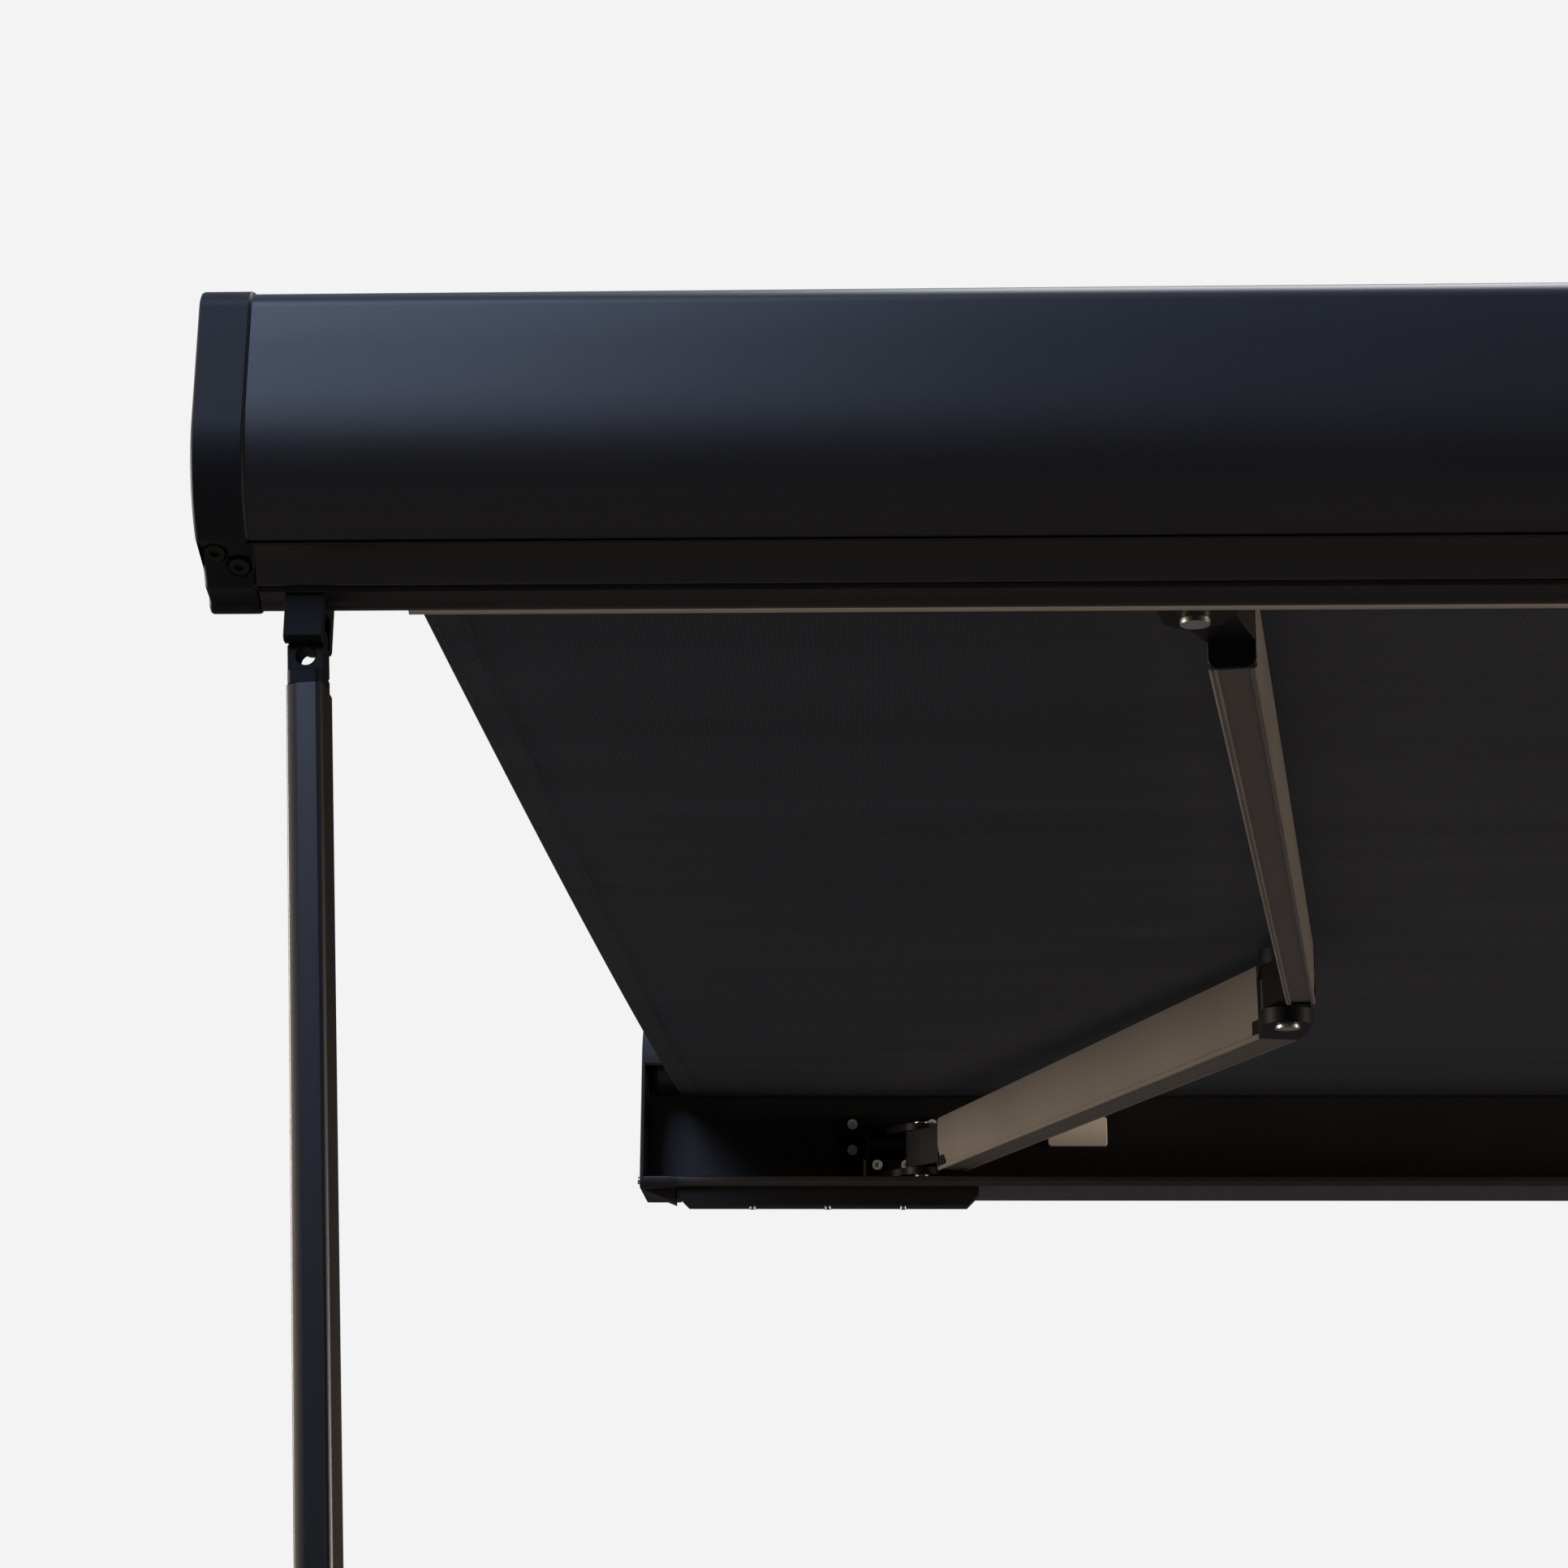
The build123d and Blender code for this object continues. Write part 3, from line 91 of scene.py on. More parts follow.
def to_the_eye(tree):
    """One for a ray from the camera, straight or through something clear, and zero for any other."""
    ray = add(tree, "ShaderNodeLightPath")
    seen = add(tree, "ShaderNodeMath", {"operation": "MAXIMUM"},
               {0: ray.outputs["Is Camera Ray"], 1: ray.outputs["Is Transmission Ray"]})
    return seen.outputs[0]


# The sky goes from ground tone to blue between two heights on the unit sphere. A colour Mix node has
# its two colours at inputs 6 and 7 and its result at output 2, here and in every material below.
backdrop_tone, ground_tone, sky_tone = "#f3f3f3", "#6b6259", "#aecbff"
sky_from, sky_full, sky_strength = 0.12, 0.8, 0.62
world = bpy.data.worlds.new("pale_backdrop")
world.use_nodes = True
sky = world.node_tree
sky.nodes.clear()
heading = add(sky, "ShaderNodeTexCoord")
height = add(sky, "ShaderNodeSeparateXYZ", None, {"Vector": heading.outputs["Generated"]})
rise = add(sky, "ShaderNodeMapRange", {"interpolation_type": "SMOOTHSTEP"},
           {"Value": height.outputs["Z"], "From Min": sky_from, "From Max": sky_full})
dome = add(sky, "ShaderNodeMix", {"data_type": "RGBA"},
           {"Factor": rise.outputs[0], 6: linear(ground_tone), 7: linear(sky_tone)})
fill = add(sky, "ShaderNodeBackground", None, {"Color": dome.outputs[2], "Strength": sky_strength})
pale = add(sky, "ShaderNodeBackground", None, {"Color": linear(backdrop_tone), "Strength": 1.0})
mixed = add(sky, "ShaderNodeMixShader", None,
            {0: to_the_eye(sky), 1: fill.outputs[0], 2: pale.outputs[0]})
add(sky, "ShaderNodeOutputWorld", None, {"Surface": mixed.outputs[0]})
bpy.context.scene.world = world
bpy.context.scene.view_settings.view_transform = "Standard"

# Matt paper: the camera sees its own pale tone and, in a dark diffuse layer on top, the object's
# shadow. To the object it is brown ground.
paper_tone, shadow_layer, earth_tone = "#dcdcda", "#2c2c2c", "#70685f"
floor_half, floor_height = 14.0, cad_box[0][2]
floor_mesh = bpy.data.meshes.new("studio_floor")
floor_mesh.from_pydata([(x * floor_half, y * floor_half, floor_height)
                        for x, y in ((-1, -1), (1, -1), (1, 1), (-1, 1))], [], [(0, 1, 2, 3)])
floor = bpy.data.objects.new("studio_floor", floor_mesh)
bpy.context.scene.collection.objects.link(floor)
paper = bpy.data.materials.new("matt_paper_floor")
paper.use_nodes = True
sheet = paper.node_tree
sheet.nodes.clear()
ground = add(sheet, "ShaderNodeBsdfDiffuse", None, {"Color": linear(earth_tone)})
own_tone = add(sheet, "ShaderNodeEmission", None, {"Color": linear(paper_tone), "Strength": 1.0})
contact = add(sheet, "ShaderNodeBsdfDiffuse", None, {"Color": linear(shadow_layer)})
pale_paper = add(sheet, "ShaderNodeAddShader", None, {0: own_tone.outputs[0], 1: contact.outputs[0]})
shown = add(sheet, "ShaderNodeMixShader", None,
            {0: to_the_eye(sheet), 1: ground.outputs[0], 2: pale_paper.outputs[0]})
add(sheet, "ShaderNodeOutputMaterial", None, {"Surface": shown.outputs[0]})
floor_mesh.materials.append(paper)

# Four square lamps, each with its place, aim, width, power and tone: a cool sky in front, two warm low
# ones for the light off the ground, and a plain one above.
for name, spot, aim, width, watts, colour in (
        ("lamp_sky_front", (-4.0, -7.5, 4.0), (-1.2, -2.4, 0.0), 4.0, 330, "#c2d6ff"),
        ("lamp_low_left", (-6.5, -1.6, 0.2), (-1.1, -0.9, -0.05), 1.6, 350, "#fff0e0"),
        ("lamp_low_right", (4.5, -1.9, -0.3), (-1.1, -1.9, -0.1), 1.6, 350, "#ffeedd"),
        ("lamp_top", (0.5, -1.5, 5.0), (0.0, -1.5, 0.0), 4.0, 300, "#ffffff")):
    lamp = bpy.data.lights.new(name, "AREA")
    lamp.size = width
    lamp.energy = watts
    lamp.color = linear(colour)[:3]
    holder = bpy.data.objects.new(name, lamp)
    bpy.context.scene.collection.objects.link(holder)
    holder.location = spot
    holder.rotation_euler = (Vector(aim) - Vector(spot)).to_track_quat("-Z", "Y").to_euler()

# The camera's place, its turns in degrees and its focal length in pixels are those that lay the
# object's long edges on the picture's.
picture_side, picture_focal, sensor_mm = 1932, 3481, 36.0
camera_at, camera_pan, camera_tilt, camera_roll = (-1.4481, -3.6488, -0.6212), 1.745, 16.525, 0.273
camera_data = bpy.data.cameras.new("low_front_view")
camera_data.sensor_width = sensor_mm
camera_data.lens = sensor_mm * picture_focal / picture_side
camera_data.clip_start = 0.05
camera_data.clip_end = 60.0
camera = bpy.data.objects.new("low_front_view", camera_data)
bpy.context.scene.collection.objects.link(camera)
camera.matrix_world = (Matrix.Translation(camera_at)
                       @ Matrix.Rotation(math.radians(camera_pan), 4, "Z")
                       @ Matrix.Rotation(math.radians(90 + camera_tilt), 4, "X")
                       @ Matrix.Rotation(math.radians(camera_roll), 4, "Z"))
bpy.context.scene.camera = camera


# Cassette: the long housing with hood, back and lower lip, in which the roller turns and to which the
# arms are bolted. It is one aluminium extrusion, cut to length and powder coated satin black.
nodes = frame["nodes"]
home_of = {node: body for body, members in frame["record"]["behaviour"]["bodies"].items()
           for node in members}


def surface(name, colour, roughness, metallic=0.0, gleam=0.5):
    """A new material with its shader; the caller adds the pattern nodes."""
    made = bpy.data.materials.new(name)
    made.use_nodes = True
    shader = made.node_tree.nodes["Principled BSDF"]
    shader.inputs["Base Color"].default_value = linear(colour)
    shader.inputs["Roughness"].default_value = roughness
    shader.inputs["Metallic"].default_value = metallic
    shader.inputs["Specular IOR Level"].default_value = gleam
    return made, made.node_tree, shader


def grain_scale(millimetres):
    """Noise scale whose blobs are about that many millimetres across in Object coordinates."""
    return 1000.0 / millimetres


def patterned(name, light, dark, roughness, spread, blotch_mm, grain_mm, bump_mm,
              metallic=0.0, gleam=0.5):
    """A coated, moulded or plated finish: two near colours in soft blotches, gloss that differs by
    the spread with them, and a fine grain that stands up by bump_mm."""
    made, tree, shader = surface(name, light, roughness, metallic, gleam)
    place = add(tree, "ShaderNodeTexCoord")
    blotch = add(tree, "ShaderNodeTexNoise", None,
                 {"Vector": place.outputs["Object"], "Scale": grain_scale(blotch_mm), "Detail": 4.0})
    tone = add(tree, "ShaderNodeMix", {"data_type": "RGBA"},
               {"Factor": blotch.outputs["Fac"], 6: linear(dark), 7: linear(light)})
    tree.links.new(tone.outputs[2], shader.inputs["Base Color"])
    gloss = add(tree, "ShaderNodeMapRange", None,
                {"Value": blotch.outputs["Fac"],
                 "To Min": roughness - spread, "To Max": roughness + spread})
    tree.links.new(gloss.outputs[0], shader.inputs["Roughness"])
    grain = add(tree, "ShaderNodeTexNoise", None,
                {"Vector": place.outputs["Object"], "Scale": grain_scale(grain_mm), "Detail": 2.0})
    bump = add(tree, "ShaderNodeBump", None,
               {"Height": grain.outputs["Fac"], "Distance": bump_mm / 1000.0, "Strength": 1.0})
    tree.links.new(bump.outputs[0], shader.inputs["Normal"])
    return made


def placed(name, mesh, finish, body):
    """A new piece from a finished mesh, riding on its body."""
    mesh.materials.clear()
    mesh.materials.append(finish)
    piece = bpy.data.objects.new(name, mesh)
    bpy.context.scene.collection.objects.link(piece)
    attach(piece, body)
    return piece


def settled(piece):
    """Turns a piece's modifiers into its plain mesh."""
    evaluated = piece.evaluated_get(bpy.context.evaluated_depsgraph_get())
    mesh = bpy.data.meshes.new_from_object(evaluated)
    piece.modifiers.clear()
    piece.data = mesh
    return piece


def refined(node, finish, edge_mm=0.0, smooth_under=32.0):
    """A CAD node's own shape in a better mesh: its loose triangles are merged and its curves shaded
    smooth up to that angle. Where edge_mm is given, its sharp edges are rounded by it. A shape whose
    edges lie close together has none, because rounding distorts them."""
    merge_under, flat_under = 0.00001, math.radians(1.0)
    shape = bmesh.new()
    shape.from_mesh(nodes[node].data)
    bmesh.ops.remove_doubles(shape, verts=shape.verts, dist=merge_under)
    bmesh.ops.dissolve_limit(shape, angle_limit=flat_under, verts=shape.verts, edges=shape.edges)
    mesh = bpy.data.meshes.new(node + "_finish")
    shape.to_mesh(mesh)
    shape.free()
    mesh.shade_smooth()
    mesh.set_sharp_from_angle(angle=math.radians(smooth_under))
    piece = placed(node + "_finish", mesh, finish, home_of[node])
    if edge_mm:
        rounding = piece.modifiers.new("broken_edges", "BEVEL")
        rounding.width = edge_mm / 1000
        rounding.segments = 2
        rounding.limit_method = "ANGLE"
        rounding.angle_limit = math.radians(smooth_under)
        rounding.use_clamp_overlap = False
    even = piece.modifiers.new("even_shading", "WEIGHTED_NORMAL")
    even.keep_sharp = True
    settled(piece)
    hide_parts(node)
    return piece


# Powder coat is a thin even plastic film over the metal, so the eye sees a soft black sheen and no
# metal. Its orange peel is about 1 mm across, drawn a little coarser so that it shows.
powder_coat = patterned("powder_coated_aluminium", light="#211f1e", dark="#1a1817",
                        roughness=0.36, spread=0.04, blotch_mm=180.0, grain_mm=1.4, bump_mm=0.02,
                        gleam=0.42)
refined("case_shell", powder_coat)


# Cassette end caps: moulded in black ABS, pushed over the extrusion's ends and screwed into its
# ports. The left one carries the roller's stub axle.

# The mould's spark-eroded texture makes the ABS dull: the eye sees no highlight, only a faint grit,
# which is drawn at 1.1 mm, coarser than the real one, so that it shows.
moulded_black = patterned("moulded_black_abs", light="#0e0e0f", dark="#0a0a0b",
                          roughness=0.5, spread=0.04, blotch_mm=90.0, grain_mm=1.1, bump_mm=0.04,
                          gleam=0.25)
for node in ("case_end_cap_left", "case_end_cap_right"):
    refined(node, moulded_black)


# Wall brackets and foot bars: three pressed steel plates bolted to the wall carry the cassette by its
# back, and a bevelled bar is screwed below each of its ends. All are coated black.
def dress(finish, *names):
    """Gives CAD nodes a finish in place of the plain one that they came with."""
    for name in names:
        mesh = nodes[name].data
        mesh.materials.clear()
        mesh.materials.append(finish)


# On pressed and cast metal the coat lies on a rougher skin than the extrusion's, so the eye sees it
# duller, with an uneven sheen.
cast_coat = patterned("coated_casting", light="#0f0f10", dark="#0a0a0b",
                      roughness=0.52, spread=0.06, blotch_mm=60.0, grain_mm=2.2, bump_mm=0.05,
                      gleam=0.13)
dress(cast_coat, "wall_bracket_left", "wall_bracket_centre", "wall_bracket_right")
for node in ("case_foot_left", "case_foot_right"):
    refined(node, cast_coat)


# Cassette screws: steel pan heads that hold the end caps in the extrusion's ports and the foot bars
# below it.

# Zinc plate is a bright grey metal with a slightly milky gloss that differs from spot to spot.
zinc_plate = patterned("zinc_plated_steel", light="#c9c8c2", dark="#aaa9a4",
                       roughness=0.34, spread=0.06, blotch_mm=6.0, grain_mm=1.0, bump_mm=0.01,
                       metallic=1.0)
dress(zinc_plate, "case_screws")


# Roller: a galvanised steel tube that turns on two moulded plugs, one on the left cap's stub axle and
# one on the gearbox. The canopy is wound on it.

# Hot-dip zinc is a dull grey metal in patches some 14 mm across, as its crystals grow.
galvanised = patterned("galvanised_steel_tube", light="#5d5f60", dark="#484a4b",
                       roughness=0.6, spread=0.08, blotch_mm=14.0, grain_mm=3.0, bump_mm=0.01,
                       metallic=1.0)
dress(galvanised, "roller_tube")
dress(moulded_black, "roller_plugs")


# Gearbox and crank: a cast worm housing, coated black and screwed to the right end cap, and the bare
# plated shaft that ends in the eye for the crank's hook.
dress(cast_coat, "gearbox_housing")
dress(zinc_plate, "crank_eye")


# Shoulders: cast brackets with a tilt barrel, bolted inside the cassette by six bright bolts each,
# and the moulded nylon pads on which the folded arms rest.

# Zinc flake is a pale matt coat of overlapping scales: it has hardly a metal's mirror, so it is no
# metal to the shader. Nylon is cream and waxy, with wide soft highlights.
zinc_flake = patterned("zinc_flake_coated_bolts", light="#d8d3ca", dark="#bdb8b0",
                       roughness=0.5, spread=0.05, blotch_mm=9.0, grain_mm=1.0, bump_mm=0.01,
                       gleam=0.6)
cream_nylon = patterned("moulded_nylon", light="#e8dccf", dark="#dccfc1",
                        roughness=0.55, spread=0.04, blotch_mm=25.0, grain_mm=1.0, bump_mm=0.03)
for node in ("shoulder_bracket_left", "shoulder_bracket_right"):
    refined(node, cast_coat)
refined("shoulder_pins", zinc_plate)
refined("shoulder_bolts", zinc_flake)
refined("arm_rest_pads", cream_nylon, edge_mm=1.0)


# Folding arms: on each side an upper arm and a forearm of drawn aluminium tube, with cast knuckles,
# forks and eyes pushed into their ends and headed pins through them.

# The tubes' satin coat is a warm bronze grey that shows as one long soft sheen on each flank.
arm_coat = patterned("satin_coated_arm_tube", light="#6b655e", dark="#5a554f",
                     roughness=0.4, spread=0.05, blotch_mm=120.0, grain_mm=1.4, bump_mm=0.02,
                     gleam=0.2)


def swept(name, outline, place, length, finish, node, bore=None, stands_in=True):
    """Sweeps a closed outline in a frame's x and y along its z, hollow where it has a bore with as
    many points, and gives it the CAD node's place or only its body."""
    crease = math.radians(28)
    shape = bmesh.new()
    loops = [outline] + ([bore] if bore else [])
    walls = [[[shape.verts.new(place @ Vector((a, b, z))) for a, b in loop] for z in (0.0, length)]
             for loop in loops]
    count = len(outline)
    for rings in walls:
        for i in range(count):
            j = (i + 1) % count
            shape.faces.new((rings[0][i], rings[0][j], rings[1][j], rings[1][i]))
    for end in (0, 1):
        if bore:
            for i in range(count):
                j = (i + 1) % count
                shape.faces.new((walls[0][end][i], walls[0][end][j],
                                 walls[1][end][j], walls[1][end][i]))
        else:
            shape.faces.new(walls[0][end])
    bmesh.ops.recalc_face_normals(shape, faces=shape.faces)
    bmesh.ops.triangulate(shape, faces=[face for face in shape.faces if len(face.verts) > 4])
    mesh = bpy.data.meshes.new(name)
    shape.to_mesh(mesh)
    shape.free()
    mesh.shade_smooth()
    mesh.set_sharp_from_angle(angle=crease)
    piece = placed(name, mesh, finish, home_of[node])
    if stands_in:
        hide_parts(node)
    return piece


def arm_outline(a0, a1, b0, b1, draw_in, hollow_under):
    """A tube's section in the box of two corners: flanks that draw in above a lip at the foot, an
    underside that is let in between two rims, and rounded upper edges."""
    top_round, top_cut = 0.003, 0.0009
    foot_cut, rim_inside, groove_inside = 0.0012, 0.0032, 0.0044
    draw_top, draw_over, draw_power, draw_steps = 0.52, 0.4, 1.6, 10
    draw_foot, lip_share, lip_root = 0.11, 0.05, 0.0006
    tall = b1 - b0
    lip = b0 + lip_share * tall
    flank = [(0.0, b1 - top_round), (0.0, b0 + draw_top * tall)]
    flank += [(draw_in * (k / draw_steps) ** draw_power,
               b0 + (draw_top - draw_over * k / draw_steps) * tall) for k in range(1, draw_steps + 1)]
    flank += [(draw_in, b0 + draw_foot * tall), (lip_root, lip + foot_cut), (0.0, lip),
              (0.0, b0 + foot_cut)]
    right = [(a1 - inward, b) for inward, b in flank]
    left = [(a0 + inward, b) for inward, b in flank][::-1]
    under = [(a1 - foot_cut, b0), (a1 - rim_inside, b0), (a1 - groove_inside, b0 + hollow_under),
             (a0 + groove_inside, b0 + hollow_under), (a0 + rim_inside, b0), (a0 + foot_cut, b0)]
    over = [(a0 + top_cut, b1 - top_cut), (a0 + top_round, b1),
            (a1 - top_round, b1), (a1 - top_cut, b1 - top_cut)]
    return right + under + left + over


def long_ends(corners, start):
    """The two corners at a long piece's ends, the one nearer the start first."""
    far = max(corners, key=lambda at: (at - start).length)
    return max(corners, key=lambda at: (at - far).length), far


arm_wall, end_zone = 0.0045, 0.12
joint_of = {joint["name"]: joint for joint in frame["record"]["behaviour"]["joints"]}
fold_axis = Vector(joint_of["arm_fold"]["axis"]).normalized()
fold_axis = -fold_axis if fold_axis.z < 0 else fold_axis
# How far the flanks draw in and the underside is let in follows the picture's light and dark bands.
for node, draw_in, hollow_under in (("upper_arm_left", 0.0058, 0.0008),
                                    ("upper_arm_right", 0.0058, 0.0008),
                                    ("forearm_left", 0.0016, 0.0024),
                                    ("forearm_right", 0.0016, 0.0024)):
    corners = [vertex.co.copy() for vertex in nodes[node].data.vertices]
    tail, far = long_ends(corners, corners[0])
    near_end = [at for at in corners if (at - tail).length < end_zone]
    far_end = [at for at in corners if (at - far).length < end_zone]
    arm_along = sum(far_end, Vector()) / len(far_end) - sum(near_end, Vector()) / len(near_end)
    arm_along = (arm_along - fold_axis * arm_along.dot(fold_axis)).normalized()
    across = fold_axis.cross(arm_along)
    spans = [[at.dot(way) for at in corners] for way in (across, fold_axis, arm_along)]
    (a0, a1), (b0, b1), (c0, c1) = [(min(span), max(span)) for span in spans]
    arm_section = arm_outline(a0, a1, b0, b1, draw_in, hollow_under)
    mid_a, mid_b = (a0 + a1) / 2, (b0 + b1) / 2
    arm_bore = [(mid_a + (a - mid_a) * (1 - 2 * arm_wall / (a1 - a0)),
                 mid_b + (b - mid_b) * (1 - 2 * arm_wall / (b1 - b0))) for a, b in arm_section]
    arm_frame = Matrix((across, fold_axis, arm_along)).transposed().to_4x4()
    swept(node + "_profile", arm_section, arm_frame @ Matrix.Translation((0.0, 0.0, c0)), c1 - c0,
          arm_coat, node, arm_bore)

# The spring in each upper arm pulls the arm open and keeps the canopy tight. It is close-wound wire,
# blackened in its hardening, so the eye sees dark metal with a soft oily gleam.
dark_steel = patterned("blackened_steel", light="#3a3b3e", dark="#2b2c2f",
                       roughness=0.38, spread=0.05, blotch_mm=20.0, grain_mm=1.2, bump_mm=0.01,
                       metallic=1.0)
coil_turns, coil_wire, coil_radius, coil_long = 104.0, 0.0021, 0.0108, 0.455
coil_tree = bpy.data.node_groups.new("close_wound_coil", "GeometryNodeTree")
for label, kind in (("Turns", "NodeSocketFloat"), ("Coil Radius", "NodeSocketFloat"),
                    ("Coil Length", "NodeSocketFloat"), ("Wire Radius", "NodeSocketFloat"),
                    ("Wire", "NodeSocketMaterial")):
    coil_tree.interface.new_socket(label, in_out="INPUT", socket_type=kind)
coil_tree.interface.new_socket("Coil", in_out="OUTPUT", socket_type="NodeSocketGeometry")
given = add(coil_tree, "NodeGroupInput")
coil_path = add(coil_tree, "GeometryNodeCurveSpiral", None,
                {"Resolution": 14, "Rotations": given.outputs["Turns"],
                 "Start Radius": given.outputs["Coil Radius"],
                 "End Radius": given.outputs["Coil Radius"], "Height": given.outputs["Coil Length"]})
wire_shape = add(coil_tree, "GeometryNodeCurvePrimitiveCircle", None,
                 {"Resolution": 6, "Radius": given.outputs["Wire Radius"]})
wound = add(coil_tree, "GeometryNodeCurveToMesh", None,
            {"Curve": coil_path.outputs[0], "Profile Curve": wire_shape.outputs[0],
             "Fill Caps": True})
coil_solid = add(coil_tree, "GeometryNodeRealizeInstances", None, {"Geometry": wound.outputs[0]})
drawn = add(coil_tree, "GeometryNodeSetMaterial", None,
            {"Geometry": coil_solid.outputs[0], "Material": given.outputs["Wire"]})
add(coil_tree, "NodeGroupOutput", None, {"Coil": drawn.outputs[0]})


def grown(piece, tree, values):
    """Makes a piece's mesh by a Geometry Nodes tree, with its named inputs set first."""
    grower = piece.modifiers.new("grower", "NODES")
    grower.node_group = tree
    for socket in tree.interface.items_tree:
        if socket.in_out == "INPUT" and socket.name in values:
            grower[socket.identifier] = values[socket.name]
    return settled(piece)


for side in ("left", "right"):
    node = "arm_spring_" + side
    corners = [vertex.co.copy() for vertex in nodes[node].data.vertices]
    centre = sum(corners, Vector()) / len(corners)
    tail, far = long_ends(corners, centre)
    rough_way = Vector(((far - tail).x, (far - tail).y, 0.0)).normalized()
    nearest = [at for at in corners if (at - centre).dot(rough_way) < 0]
    arm_along = -(sum(nearest, Vector()) / len(nearest) - centre).normalized()
    coil = bpy.data.objects.new("spring_coil_" + side, bpy.data.meshes.new("spring_coil_" + side))
    bpy.context.scene.collection.objects.link(coil)
    grown(coil, coil_tree, {"Turns": coil_turns, "Coil Radius": coil_radius,
                            "Coil Length": coil_long, "Wire Radius": coil_wire, "Wire": dark_steel})
    turned = Vector((0.0, 0.0, 1.0)).rotation_difference(arm_along).to_matrix().to_4x4()
    coil.data.transform(Matrix.Translation(centre - arm_along * coil_long / 2) @ turned)
    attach(coil, home_of[node])
    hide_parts(node)

for side in ("left", "right"):
    for part in ("shoulder_knuckle_", "elbow_fork_", "elbow_eye_", "wrist_eye_"):
        refined(part + side, cast_coat, edge_mm=0.6)
for node in ("elbow_pin_left", "elbow_pin_right"):
    refined(node, zinc_plate)


# Lead rail: the hollow front extrusion that closes the cassette when the canopy is in. It is coated
# like the cassette, has the canopy's hem bar in a channel at its back and moulded caps screwed on its
# ends, and takes the arms on cast brackets.
def arc(centre, radius, start, end, steps):
    """Points of an arc, in degrees from the first axis."""
    return [(centre[0] + radius * math.cos(math.radians(start + (end - start) * i / steps)),
             centre[1] + radius * math.sin(math.radians(start + (end - start) * i / steps)))
            for i in range(steps + 1)]


# The rail's section, in mm: Y runs back from the front face at -rail_front, and Z up to rail_top.
# Its front face curls in below, down to a step and a cove. A round bead ends the foot, and the back
# goes up past the hem's channel.
rail_front, rail_top, rail_back = 107.0, 105.0, -60.0
curl_start, curl_end, curl_depth, curl_power, curl_steps = 75.0, -9.0, 21.0, 4.3, 36
front_heights = [curl_start - (curl_start - curl_end) * i / curl_steps for i in range(curl_steps + 1)]
front_face = [(-rail_front + curl_depth * ((curl_start - z) / (curl_start - curl_end)) ** curl_power, z)
              for z in front_heights]
top_edge = [(rail_back, rail_top)] + arc((-97.0, 95.0), 10.0, 90, 180, 10)
step = [(-85.3, -9.6), (-84.6, -9.4), (-82.0, -7.6), (-81.4, -8.6), (-83.0, -10.2), (-82.7, -10.9)]
cove = arc((-85.9, -29.6), 22.3, 76, 22, 12)[2:-2]
shadow_slot = [(-64.2, -22.3), (-63.6, -23.2), (-62.6, -23.3), (-61.2, -20.4), (-58.8, -21.0),
               (-58.0, -24.6)]
foot_bead = arc((-48.0, -25.5), 4.5, 205, 360, 12) + [(rail_back, -9.0)]
channel_at, channel_outer, channel_inner = (-55.0, 36.0), 7.0, 4.6
hem_channel = [(rail_back, 31.1)] + arc(channel_at, channel_outer, 225.6, 346, 10)
hem_channel += arc(channel_at, channel_inner, 338.3, 21.7, 16)
hem_channel += arc(channel_at, channel_outer, 14, 134.4, 10)
rail_outline = top_edge + front_face + step + cove + shadow_slot + foot_bead + hem_channel
# Lays a section's two axes on Y and Z and its length along X.
lay_along_x = Matrix(((0, 0, 1, 0), (1, 0, 0, 0), (0, 1, 0, 0), (0, 0, 0, 1)))
rail_low, rail_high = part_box("lead_rail")
rail_place = Matrix.Translation((rail_low.x, rail_low.y + rail_front / 1000,
                                 rail_high.z - rail_top / 1000)) @ lay_along_x
swept("lead_rail_profile", [(y / 1000, z / 1000) for y, z in rail_outline], rail_place,
      rail_high.x - rail_low.x, powder_coat, "lead_rail")

# Painted light: a pale, matt, warm strip below the dark rail stands in for the light seen through the
# gap between the rail and the canopy. It is no vinyl welt.
painted_gap_light = patterned("painted_gap_light_strip", light="#c9bfae", dark="#b8ae9e",
                       roughness=0.6, spread=0.04, blotch_mm=30.0, grain_mm=1.2, bump_mm=0.01,
                       gleam=0.3)
gap_light_inset = 0.067
gap_light_outline = [(-47.0, -29.2), (-44.2, -26.6), (-42.9, -28.0), (-43.0, -30.2), (-43.6, -30.7),
                (-44.4, -29.9)]
swept("painted_gap_light_line", [(y / 1000, z / 1000) for y, z in gap_light_outline],
      Matrix.Translation((gap_light_inset, 0.0, 0.0)) @ rail_place,
      rail_high.x - rail_low.x - 2 * gap_light_inset, painted_gap_light, "lead_rail", stands_in=False)

# Black oxide is a thin dark skin on the screws: nearly black, with a slight gleam and no metal's
# colour left.
black_oxide = patterned("black_oxide_screws", light="#0d0d0e", dark="#09090a",
                        roughness=0.4, spread=0.04, blotch_mm=12.0, grain_mm=1.0, bump_mm=0.01,
                        gleam=0.3)
for node in ("rail_end_cap_left", "rail_end_cap_right"):
    refined(node, moulded_black, edge_mm=1.4)
dress(black_oxide, "rail_cap_screws")
dress(cream_nylon, "hem_bar")
for node in ("wrist_bracket_left", "wrist_bracket_right"):
    refined(node, cast_coat, edge_mm=0.5)
refined("wrist_pins", zinc_plate)


# Legs: on each side an outer aluminium tube, coated like the rail, swings by a cast knee on a hanger
# below the rail's end. The inner tube slides out of it through a moulded clamp with a lever, and
# stands on a tilting foot.
leg_half, leg_deep, leg_wall, end_slice = 8.5, 13.0, 1.6, 0.0012
leg_bore = ((leg_half - leg_wall) / 1000, (leg_deep - leg_wall) / 1000)
